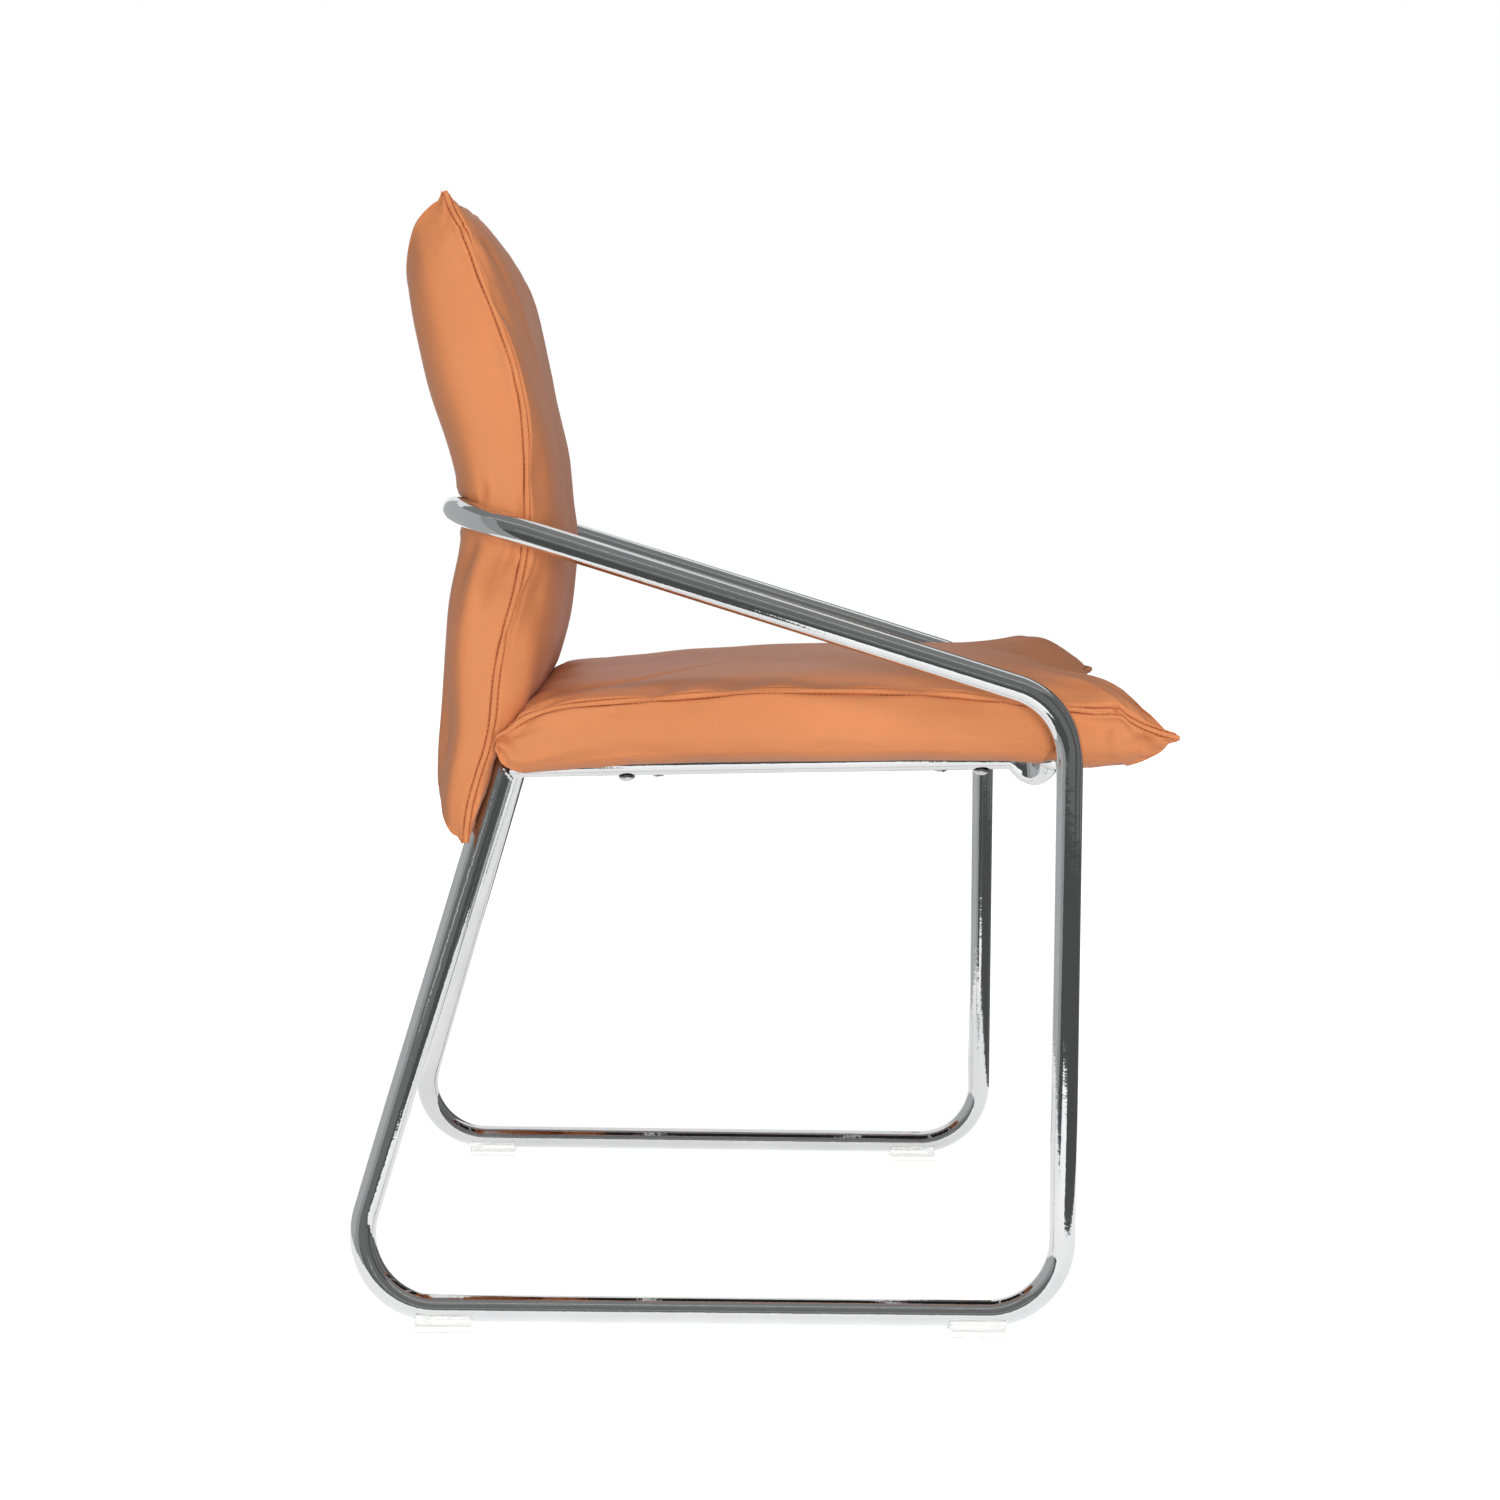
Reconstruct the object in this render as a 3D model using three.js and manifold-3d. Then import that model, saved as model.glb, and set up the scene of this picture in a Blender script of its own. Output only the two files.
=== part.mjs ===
// Sled base visitor chair: one chromed tube runs from the back posts round the runners, up the front
// legs and into the arms, which meet in a loop behind the back. Seat and back are two sewn leather
// cushions with pointed corners, each over foam and a plywood board.
// Millimetres, +Z up. The sitter faces -Y, so the sitter's left is +X.

import * as THREE from 'three';
import { mergeVertices } from 'three/addons/utils/BufferGeometryUtils.js';
import Module from 'manifold-3d';

const wasm = await Module();
wasm.setup();

// Clearances shared by all the pieces
const contactGap = 0.3; // left between two pieces that touch
const seamGap = 0.3; // left between two panels of leather along their seam
const seamInnerGap = 1.2; // the same on the inside of the leather
const foamGap = 0.6; // left between the foam and the leather
const cutOverrun = 5; // how far a cutting tool runs past what it cuts

// Frame tube
const tubeDiameter = 20;
const tubeWall = 2;
const bendRadius = 56; // to the centre line, the same die for every bend of the main tube
const frameWidth = 520; // between the centre lines of the two side frames
const runnerLength = 546; // between the corners of a runner's centre line
const frontCornerRise = 43.9; // top corner of a front leg above the top of the rails
const frontLegSetback = 8; // how far the top corner lies behind the bottom one
const postLean = THREE.MathUtils.degToRad(15.63); // forward lean of the rear legs
const postEntry = 104; // from the back's lower ears up to the tops of the posts
const loopBehindPosts = 49; // centre line of the loop behind the tops of the posts
const sleeveLength = 70;

// Seat rails and cross tubes
const seatPitch = THREE.MathUtils.degToRad(2);
const railTopHeight = 435.5; // above the floor, at the middle of the runners
const railInset = 72; // from the centre line of a side frame to the rail beside it
const railBendRadius = 24;
const railBendSetback = 10; // corner of the rail's bend behind the top corner of the front leg
const railEndRise = 3; // how much the end of the rail climbs to its weld
const railCrushDrop = 6; // the tight bend is crushed: the tube hangs this much lower in it
const railCrushNarrowing = 6; // and is this much narrower across
const frontCrossSetback = 87; // behind the top corners of the front legs
const rearCrossReach = 120; // in front of the rear ends of the rails

// Glides
const glideHeight = 6; // from the floor to the underside of the tube
const glideLength = 42;
const glideWidth = 24;
const glideFlank = 7; // how far the flanks rise beside the tube
const glideStudDiameter = 6;
const glideStudHeight = 5;
const glideChamfer = 1.5;
const rearGlideInset = 80; // from the rear corner of a runner
const frontGlideInset = 64; // from its front corner

// Plugs in the open tops of the back posts
const plugLength = 14;
const plugHeadHeight = 3;

// Screws and the tee nuts that they turn into
const screwDiameter = 6;
const screwHeadDiameter = 12.5;
const screwHeadHeight = 5;
const screwDomeShares = [0, 0.6, 0.9]; // places on the dome, from its middle outward
const screwHoleDiameter = 7;
const seatScrewLength = 36;
const frontScrewSetback = 56; // behind the top corners of the front legs
const rearScrewReach = 96; // in front of the rear ends of the rails
const teeNutFlange = 19;
const teeNutFlangeThickness = 1.5;
const teeNutBarrel = 8;
const teeNutBarrelLength = 8;
const spacerDiameter = 14;

// Leather, cloth and boards
const leatherThickness = 1.6;
const leatherThinningShare = 4; // a corner thinner than this many thicknesses takes thinner leather
const clothThickness = 0.8;
const seatBoardThickness = 12;
const backBoardThickness = 10;

// Seat cushion
const seatSideClearance = 18; // from the inner side of a front leg to the seat's edge
const seatFrontOverhang = 73; // front edge in front of the front legs' top corners
const seatRearClearance = 27; // rear edge in front of the rear legs' centre lines
const seatCrownHeight = 70; // above the top of the rails
const seatRimDrop = 20; // how far the front of the rim hangs below the top of the rails
const seatEar = { side: 6, low: 16, high: 25, round: 25 };
const seatRollShares = { low: [4, 0.66], side: [3.5, 0.55], high: [9, 0.5], corner: [5, 0.7] };
const seatRimWidth = 34; // from the seat's edge to the foot of the rim
const seatFlangeWidth = 9; // leather turned in flat under the board
const seatBoardInset = 28; // from the seat's edge to the board's edge

// Back cushion
const backSideClearance = 18; // from the inner side of an arm to the back's edge
const backHeight = 480; // from ear to ear
const backDrop = 69.5; // lower ears below the top of the rails
const backWaistShare = 0.5165; // place of the loop on that height, from the lower ears up
const backWeltToLoop = 55; // seam at the waist to the centre line of the loop
const backSweep = 63; // how far the top ears lie behind the waist
const backCrownDepth = 36.5;
const backRearDepth = 64.5;
const backEar = { side: 8, low: 11, high: 12, round: 14 };
const backRollShares = { low: [4, 0.55], side: [4, 0.55], high: [8, 0.45], corner: [5, 0.4] };
const backBoardSideInset = 42; // from the back's side edges
const backBoardCorner = 30;
const backBoardFootInset = 26; // lower end of the board above the lower ears
const backBoardTopInset = 46; // upper end of the board below the upper ears
const backBoardTopSetback = 59; // upper end of the board behind the waist
const backBoardToPost = 25; // board's middle plane to the centre line of the posts
const backBoardBendShares = [0.33, 0.33, 0.3]; // reach of the bend's two handles, lean of the upper
const postScrewDrop = 24; // from the top of a post to its screw
const postScrewLength = 27;
const postAccessDiameter = 13.5; // hole in the front of a post that lets the screw's head in
const loopScrewSpacing = 240;
const loopScrewLength = 52;

// Shape of the cushions: each row is a place, from 0 at the low end to 1 at the high end, and a
// share of the size that the row belongs to. The seat's low end is its front, the back's its foot.
const seatWeltShares = [[0, 0.07], [0.043, 0.15], [0.095, 0.35], [0.165, 0.47], [0.29, 0.57],
  [0.38, 0.63], [0.6, 0.67], [0.71, 0.65], [0.86, 0.54], [0.92, 0.44], [0.96, 0.3], [1, -0.08]];
const seatCrownShares = [[0, 1], [0.28, 0.98], [0.54, 0.96], [0.7, 0.9], [0.82, 0.83], [1, 0.82]];
const seatRimShares = [[0, 0.8], [0.1, 0.97], [0.27, 0.65], [0.82, 0.55], [0.94, 0.72], [1, 0.68]];
const backWeltShares = [[0, 0.7], [0.11, 0.65], [0.21, 0.46], [0.34, 0.22], [0.5, 0.015],
  [0.6, 0.03], [0.74, 0.25], [0.88, 0.62], [0.94, 0.78], [1, 1]];
const backCrownShares = [[0, 0.75], [0.2, 0.9], [0.33, 0.96], [0.45, 0.8], [0.55, 0.6],
  [0.7, 0.5], [0.85, 0.64], [1, 0.75]];
const backRearShares = [[0, 0.37], [0.11, 0.42], [0.21, 0.56], [0.3, 0.7], [0.4, 0.8],
  [0.5, 0.76], [0.55, 0.82], [0.62, 0.98], [0.7, 1.07], [0.8, 1], [0.88, 0.83], [1, 0.62]];

// Rings of the crown, as shares of the way from the middle to the seam
const crownRingShares = [0.4, 0.66, 0.82, 0.91, 0.96, 0.99, 1];
// Rings of the side panel from the seam on: share of its depth, share of the ear that is left, and
// how far it swells past the edge, as a share of the largest swell
const sideRingShares = [[0, 1, 0], [0.12, 0.75, 0.45], [0.35, 0.45, 0.9], [0.62, 0.2, 1],
  [0.85, 0.05, 0.2]];
const backRingShares = [1, 0.7, 0.35]; // rings of the back's rear face, from its edge inward
const innerRings = [0, 2, 4, 7, 9, 11, 12]; // rings that the inside of the leather keeps
const foamRings = [0, 2, 4, 9, 11, 12]; // rings of the foam, which doesn't fill the pointed corners
const sideSwell = 4.5;
const sideTuck = 15; // inset of the last ring of the side panel
const earSharpness = 8; // the higher, the more pointed the corners

// Facets
const tubeSides = 14;
const boreSides = 8;
const bendStep = THREE.MathUtils.degToRad(13);
const screwSides = 8;
const cushionSideSteps = 8; // points along each side edge of a cushion
const cushionEndSteps = 6; // points along its low and its high edge
const boardSteps = 8;

// Sizes that follow from those above
const tubeRadius = tubeDiameter / 2;
const boreRadius = tubeRadius - tubeWall;
const halfFrame = frameWidth / 2;
const halfRunner = runnerLength / 2;
const runnerHeight = glideHeight + tubeRadius;
const roundness = Math.cos(Math.PI / tubeSides); // a flat of a faceted tube over its corner radius
const boreRoundness = Math.cos(Math.PI / boreSides);
const frontTopY = frontLegSetback - halfRunner;
const frontTopZ = railTopHeight + frontCornerRise;
const frontLegSlope = frontLegSetback / (frontTopZ - runnerHeight);
const backBottomHeight = railTopHeight - backDrop;
const postHeight = backBottomHeight + postEntry - runnerHeight; // from the runner's centre line
const loopSetback = halfRunner - postHeight * Math.tan(postLean) + loopBehindPosts;
const loopZ = backBottomHeight + backWaistShare * backHeight;

// Where the rails' centre lines meet the rear legs: height above the runners, and place
const railMeetHeight = (railTopHeight - tubeRadius - runnerHeight - halfRunner * Math.tan(seatPitch))
  / (1 - Math.tan(postLean) * Math.tan(seatPitch));
const railRearY = halfRunner - railMeetHeight * Math.tan(postLean);
const railHalfSpacing = halfFrame - railInset;

// Materials, with the colours of the photograph
const chrome = new THREE.MeshStandardMaterial({ color: 0xd9dbdd, metalness: 1, roughness: 0.08 });
const leather = new THREE.MeshStandardMaterial({ color: 0xdd8b5c, metalness: 0, roughness: 0.55 });
const foam = new THREE.MeshStandardMaterial({ color: 0xe8dcb8, metalness: 0, roughness: 0.95 });
const plywood = new THREE.MeshStandardMaterial({ color: 0xc39b63, metalness: 0, roughness: 0.7 });
const blackCloth = new THREE.MeshStandardMaterial({ color: 0x1b1b1d, metalness: 0, roughness: 0.95 });
const clearPlastic = new THREE.MeshStandardMaterial({ color: 0xeff0ec, metalness: 0, roughness: 0.35 });
const blackPlastic = new THREE.MeshStandardMaterial({ color: 0x202022, metalness: 0, roughness: 0.5 });
const zincSteel = new THREE.MeshStandardMaterial({ color: 0xb9bcc0, metalness: 1, roughness: 0.35 });

const chair = new THREE.Group();

// Turns a closed three.js geometry into a solid that can be cut and joined
function solidFrom(geometry) {
  geometry.deleteAttribute('normal');
  geometry.deleteAttribute('uv');
  const merged = mergeVertices(geometry);
  const index = merged.index.array;
  const triangles = [];
  for (let i = 0; i < index.length; i += 3) {
    const [a, b, c] = [index[i], index[i + 1], index[i + 2]];
    if (a !== b && b !== c && c !== a) triangles.push(a, b, c);
  }
  return new wasm.Manifold(new wasm.Mesh({
    numProp: 3,
    vertProperties: new Float32Array(merged.getAttribute('position').array),
    triVerts: new Uint32Array(triangles),
  }));
}

// Adds a solid to the chair as a named mesh
function addPiece(name, solid, material) {
  const { vertProperties, triVerts } = solid.getMesh();
  const geometry = new THREE.BufferGeometry();
  geometry.setAttribute('position', new THREE.BufferAttribute(vertProperties, 3));
  geometry.setIndex(new THREE.BufferAttribute(triVerts, 1));
  geometry.computeVertexNormals();
  const mesh = new THREE.Mesh(geometry, material);
  mesh.name = name;
  chair.add(mesh);
}

// Cubic curve through the rows of a table of shares, without overshoot, read at one place
function readShares(rows, place) {
  const last = rows.length - 1;
  const steps = rows.slice(1).map((row, i) => (row[1] - rows[i][1]) / (row[0] - rows[i][0]));
  const slopeAt = (i) => {
    if (i === 0) return steps[0];
    if (i === last) return steps[last - 1];
    const before = steps[i - 1];
    const after = steps[i];
    return before * after <= 0 ? 0 : (2 * before * after) / (before + after);
  };
  const inside = THREE.MathUtils.clamp(place, rows[0][0], rows[last][0]);
  const found = rows.findIndex((row) => row[0] >= inside);
  const i = Math.max(found, 1) - 1;
  const width = rows[i + 1][0] - rows[i][0];
  const t = (inside - rows[i][0]) / width;
  const h = 1 - t;
  return rows[i][1] * h * h * (1 + 2 * t) + rows[i + 1][1] * t * t * (3 - 2 * t)
    + width * h * t * (h * slopeAt(i) - t * slopeAt(i + 1));
}

// A path of straight lines with a round bend at each inner corner. It has a station only where the
// tube turns, so the long straight runs cost no facets.
class BentPath extends THREE.Curve {
  constructor(corners, radius) {
    super();
    this.stations = [corners[0]];
    this.headings = [];
    for (let i = 1; i < corners.length - 1; i += 1) {
      this.addBend(corners[i - 1], corners[i], corners[i + 1], radius);
    }
    const end = corners[corners.length - 1];
    const into = end.clone().sub(this.stations[this.stations.length - 1]).normalize();
    this.stations.push(end);
    this.headings.unshift(this.stations[1].clone().sub(corners[0]).normalize());
    this.headings.push(into);
  }

  addBend(before, corner, after, radius) {
    const into = corner.clone().sub(before).normalize();
    const out = after.clone().sub(corner).normalize();
    const turn = into.angleTo(out);
    const start = corner.clone().addScaledVector(into, -radius * Math.tan(turn / 2));
    const axis = into.clone().cross(out).normalize();
    const centre = start.clone().addScaledVector(axis.clone().cross(into), radius);
    const steps = Math.ceil(turn / bendStep);
    for (let step = 0; step <= steps; step += 1) {
      const angle = (turn * step) / steps;
      const arm = start.clone().sub(centre).applyAxisAngle(axis, angle);
      this.stations.push(centre.clone().add(arm));
      this.headings.push(into.clone().applyAxisAngle(axis, angle));
    }
  }

  getPointAt(share, target = new THREE.Vector3()) {
    return target.copy(this.stations[Math.round(share * (this.stations.length - 1))]);
  }

  getTangentAt(share, target = new THREE.Vector3()) {
    return target.copy(this.headings[Math.round(share * (this.headings.length - 1))]);
  }
}

function circlePoints(radius, sides) {
  return Array.from({ length: sides }, (unused, i) => {
    const angle = (2 * Math.PI * i) / sides;
    return new THREE.Vector2(radius * Math.cos(angle), radius * Math.sin(angle));
  });
}

// A bar, or a tube when it has a bore, along a path
function sweep(path, radius, bore = 0, sides = tubeSides) {
  const section = new THREE.Shape(circlePoints(radius, sides));
  if (bore > 0) section.holes.push(new THREE.Path(circlePoints(bore, boreSides)));
  const steps = path.stations.length - 1;
  const geometry = new THREE.ExtrudeGeometry(section, { steps, extrudePath: path });
  if (path.crushed) crush(geometry, path);
  return solidFrom(geometry);
}

// Squeezes a swept tube in its bend: it gets narrower across and hangs lower, with its top as it was
function crush(geometry, path) {
  const position = geometry.getAttribute('position');
  const bendStations = path.stations.length - 3;
  const point = new THREE.Vector3();
  for (let i = 0; i < position.count; i += 1) {
    point.fromBufferAttribute(position, i);
    const distances = path.stations.map((station) => station.distanceTo(point));
    const nearest = distances.indexOf(Math.min(...distances));
    const centre = path.stations[nearest];
    const reach = Math.sin((Math.PI * (nearest - 1)) / bendStations);
    const amount = nearest > 0 && nearest <= bendStations ? reach : 0;
    const out = point.clone().sub(centre);
    const share = (tubeRadius - out.z) / tubeDiameter;
    const narrowed = 1 - (amount * railCrushNarrowing) / tubeDiameter;
    const drop = amount * share * railCrushDrop;
    position.setXYZ(i, centre.x + out.x * narrowed, centre.y + out.y * narrowed, point.z - drop);
  }
}

function tubeAlong(path) {
  return sweep(path, tubeRadius, boreRadius);
}

// The room that a neighbour must leave for the tube along a path
function envelopeOf(path) {
  return sweep(path, tubeRadius + contactGap / roundness);
}

// A round piece turned about +Z from a closed profile, then laid along a direction
function turned(profile, base, direction) {
  const points = profile.map(([radius, height]) => new THREE.Vector2(radius, height));
  const geometry = new THREE.LatheGeometry(points, screwSides);
  geometry.rotateX(Math.PI / 2);
  const turn = new THREE.Quaternion().setFromUnitVectors(new THREE.Vector3(0, 0, 1), direction);
  geometry.applyQuaternion(turn);
  geometry.translate(base.x, base.y, base.z);
  return solidFrom(geometry);
}

function rod(radius, length, base, direction) {
  return turned([[0, 0], [radius, 0], [radius, length], [0, length]], base, direction);
}

function pipe(radius, bore, length, base, direction) {
  const profile = [[bore, 0], [radius, 0], [radius, length], [bore, length], [bore, 0]];
  return turned(profile, base, direction);
}

// A pan head screw. The base is the middle of the head's seat, and the shank points along.
function screw(length, base, direction) {
  const head = screwHeadDiameter / 2;
  const shank = screwDiameter / 2;
  const domeAt = (share) => [head * share, -screwHeadHeight * Math.sqrt(1 - share * share)];
  const dome = screwDomeShares.map(domeAt);
  const profile = [...dome, [head, 0], [shank, 0], [shank, length], [0, length]];
  return turned(profile, base, direction);
}

// A tee nut: the flange lies on the board's far side and the barrel reaches back into the board
function teeNut(base, direction) {
  const bore = screwDiameter / 2 + contactGap;
  const barrel = teeNutBarrel / 2;
  const flange = teeNutFlange / 2;
  const profile = [[bore, -teeNutBarrelLength], [barrel, -teeNutBarrelLength], [barrel, contactGap],
    [flange, contactGap], [flange, contactGap + teeNutFlangeThickness],
    [bore, contactGap + teeNutFlangeThickness], [bore, -teeNutBarrelLength]];
  return turned(profile, base, direction);
}

function joined(solids) {
  return wasm.Manifold.union(solids);
}

// The main tube of one side, from the top of the back post to the middle of the loop. `beyond`
// makes both ends longer, for the room that the plugs need.
function mainTubePath(side, beyond = 0) {
  const x = side * halfFrame;
  return new BentPath([
    postPoint(side, postHeight + beyond),
    new THREE.Vector3(x, halfRunner, runnerHeight),
    new THREE.Vector3(x, -halfRunner, runnerHeight),
    new THREE.Vector3(x, frontTopY, frontTopZ),
    new THREE.Vector3(x, loopSetback, loopZ),
    new THREE.Vector3(-side * beyond, loopSetback, loopZ),
  ], bendRadius);
}

// A point on the centre line of a rear leg, at a height above the runner's centre line
function postPoint(side, height) {
  return new THREE.Vector3(
    side * (halfFrame - railInset * (height / railMeetHeight)),
    halfRunner - height * Math.tan(postLean),
    runnerHeight + height,
  );
}

// Centre line of a seat rail: from the rear leg forward under the seat, then out to the front leg
function railPoint(side, y) {
  const z = railTopHeight - tubeRadius - y * Math.tan(seatPitch);
  return new THREE.Vector3(side * railHalfSpacing, y, z);
}

function railPath(side) {
  const bend = railPoint(side, frontTopY + railBendSetback);
  const weld = new THREE.Vector3(side * halfFrame, 0, bend.z + railEndRise);
  weld.y = frontTopY - (frontTopZ - weld.z) * frontLegSlope;
  const path = new BentPath([railPoint(side, railRearY), bend, weld], railBendRadius);
  path.crushed = true;
  return path;
}

function crossPath(y) {
  return new BentPath([railPoint(-1, y), railPoint(1, y)], railBendRadius);
}

const sideNames = { left: 1, right: -1 };
const down = new THREE.Vector3(0, 0, -1);
const up = new THREE.Vector3(0, 0, 1);
const forward = new THREE.Vector3(0, -1, 0);
const rearward = new THREE.Vector3(0, 1, 0);

// Seat parts are drawn with +Z square to the rails, and back parts with +Y up the back and +Z
// towards the sitter. These place them on the chair.
const seatFrame = new THREE.Matrix4().makeRotationX(-seatPitch).setPosition(0, 0, railTopHeight);
const waistY = loopSetback - backWeltToLoop;
const backFrame = new THREE.Matrix4().makeRotationX(Math.PI / 2).setPosition(0, waistY, 0);
const seatUp = up.clone().transformDirection(seatFrame);

// Screw places. The seat's are under the rails, the back's behind the loop and before the posts.
const sideEntries = Object.entries(sideNames);

function seatScrewPlaces() {
  const places = { front: frontTopY + frontScrewSetback, rear: railRearY - rearScrewReach };
  return Object.entries(places).flatMap(([end, y]) => sideEntries.map(([name, side]) => (
    { name: `${end}_${name}`, place: railPoint(side, y) }
  )));
}

const postAlong = postPoint(1, postHeight).sub(postPoint(1, 0)).setX(0).normalize();
const postNormal = new THREE.Vector3(0, postAlong.z, -postAlong.y); // square to a post, rearward

function postScrewPlaces() {
  const height = postHeight - postScrewDrop;
  return sideEntries.map(([name, side]) => ({ name, place: postPoint(side, height) }));
}

function loopScrewPlaces() {
  const place = (side) => new THREE.Vector3(side * loopScrewSpacing / 2, loopSetback, loopZ);
  return sideEntries.map(([name, side]) => ({ name, place: place(side) }));
}

// The same places, moved along a direction
function moved(places, direction, distance) {
  const step = direction.clone().multiplyScalar(distance);
  return places.map(({ name, place }) => ({ name, place: place.clone().add(step) }));
}

// A cutter for holes through everything near the places
function drill(places, direction, diameter) {
  const reach = 2 * tubeDiameter;
  const starts = moved(places, direction, -reach);
  return joined(starts.map(({ place }) => rod(diameter / 2, 2 * reach, place, direction)));
}

// Adds one piece at each place, named after it
function addAtPlaces(prefix, places, make, material) {
  for (const { name, place } of places) addPiece(`${prefix}_${name}`, make(place), material);
}

// Frame
const mainPaths = { left: mainTubePath(1), right: mainTubePath(-1) };
const mainEnvelopes = joined(Object.values(mainPaths).map(envelopeOf));
const railEnvelopes = joined([railPath(1), railPath(-1)].map(envelopeOf));
const seatHoles = drill(seatScrewPlaces(), seatUp, screwHoleDiameter);
const postHoles = drill(postScrewPlaces(), postNormal, screwHoleDiameter);
const loopHoles = drill(loopScrewPlaces(), forward, screwHoleDiameter);
const postForward = postNormal.clone().negate();
const accessHoles = joined(postScrewPlaces().map(({ place }) => (
  rod(postAccessDiameter / 2, tubeDiameter, place, postForward)
)));

const glidePlaces = { front: frontGlideInset - halfRunner, rear: halfRunner - rearGlideInset };
const glideStudHoles = joined(Object.values(glidePlaces).flatMap((y) => (
  sideEntries.map(([, side]) => {
    const base = new THREE.Vector3(side * halfFrame, y, 0);
    return rod(glideStudDiameter / 2 + contactGap, runnerHeight, base, up);
  })
)));

const frameHoles = joined([postHoles, accessHoles, loopHoles, glideStudHoles]);

for (const [name, side] of sideEntries) {
  const half = tubeAlong(mainPaths[name]).translate([side * contactGap / 2, 0, 0]);
  addPiece(`frame_tube_${name}`, half.subtract(frameHoles), chrome);
}
for (const [name, side] of sideEntries) {
  const rail = tubeAlong(railPath(side)).subtract(joined([mainEnvelopes, seatHoles]));
  addPiece(`seat_rail_${name}`, rail, chrome);
}
const frontCross = tubeAlong(crossPath(frontTopY + frontCrossSetback));
addPiece('front_cross_tube', frontCross.subtract(railEnvelopes), chrome);
const rearCross = tubeAlong(crossPath(railRearY - rearCrossReach));
addPiece('rear_cross_tube', rearCross.subtract(railEnvelopes), chrome);

const sleeveStart = new THREE.Vector3(-sleeveLength / 2, loopSetback, loopZ);
const sleeveRadius = boreRadius * boreRoundness - contactGap;
const leftward = new THREE.Vector3(1, 0, 0);
const sleeve = pipe(sleeveRadius, sleeveRadius - tubeWall, sleeveLength, sleeveStart, leftward);
addPiece('loop_sleeve', sleeve, zincSteel);

// Glides: a saddle under the runner with a stud that snaps into the tube
function glide(side, y) {
  const half = glideWidth / 2;
  const top = runnerHeight - tubeRadius + glideFlank;
  const saddle = new THREE.Shape([
    new THREE.Vector2(-half + glideChamfer, 0),
    new THREE.Vector2(half - glideChamfer, 0),
    new THREE.Vector2(half, glideChamfer),
    new THREE.Vector2(half, top - glideChamfer),
    new THREE.Vector2(half - glideChamfer, top),
    new THREE.Vector2(-half + glideChamfer, top),
    new THREE.Vector2(-half, top - glideChamfer),
    new THREE.Vector2(-half, glideChamfer),
  ]);
  const block = new THREE.ExtrudeGeometry(saddle, { depth: glideLength, bevelEnabled: false });
  block.rotateX(Math.PI / 2);
  block.translate(side * halfFrame, y + glideLength / 2, 0);
  const studBase = new THREE.Vector3(side * halfFrame, y, glideHeight / 2);
  const studLength = glideHeight / 2 + tubeWall + glideStudHeight;
  const stud = rod(glideStudDiameter / 2, studLength, studBase, up);
  return solidFrom(block).subtract(mainEnvelopes).add(stud);
}
for (const [end, y] of Object.entries(glidePlaces)) {
  for (const [name, side] of sideEntries) {
    addPiece(`glide_${end}_${name}`, glide(side, y), clearPlastic);
  }
}

// Plugs that close the tops of the posts
for (const [name, side] of sideEntries) {
  const top = postPoint(side, postHeight);
  const along = top.clone().sub(postPoint(side, 0)).normalize();
  const profile = [[0, -plugLength], [sleeveRadius, -plugLength], [sleeveRadius, contactGap],
    [tubeRadius, contactGap], [tubeRadius, contactGap + plugHeadHeight / 2],
    [boreRadius, contactGap + plugHeadHeight], [0, contactGap + plugHeadHeight]];
  addPiece(`post_plug_${name}`, turned(profile, top, along), blackPlastic);
}

// Points of a cushion's outline, seen from the sitter's side, going round from the low edge's left
// end. Each point knows its edge, its place on it from -1 to 1, and how near it is to a corner.
function outlinePoints() {
  return ['low', 'right', 'high', 'left'].flatMap((edge) => {
    const steps = edge === 'low' || edge === 'high' ? cushionEndSteps : cushionSideSteps;
    return Array.from({ length: steps }, (unused, i) => {
      const place = Math.sin(Math.PI * (i / steps - 0.5));
      return { edge, place, corner: Math.abs(place) ** earSharpness };
    });
  });
}

// Where an outline point lies in the plane of the cushion. `ear` is the share of the pointed corner
// that is used, 0 being a rounded one, and `swell` moves the whole edge outward.
function outlineAt(cushion, point, ear, swell, scale) {
  const { place, corner, edge } = point;
  const isEnd = edge === 'low' || edge === 'high';
  const along = edge === 'high' || edge === 'left' ? -place : place;
  const highEnd = isEnd ? edge === 'high' : along > 0;
  const pull = (reach) => swell + corner * THREE.MathUtils.lerp(-cushion.ear.round, reach, ear);
  const halfU = cushion.halfWidth + pull(cushion.ear.side);
  const halfV = cushion.halfLength + pull(highEnd ? cushion.ear.high : cushion.ear.low);
  const u = isEnd ? along * halfU : halfU * (edge === 'right' ? 1 : -1);
  const v = isEnd ? halfV * (highEnd ? 1 : -1) : along * halfV;
  return { u: u * scale, v: cushion.middle + v * scale };
}

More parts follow.
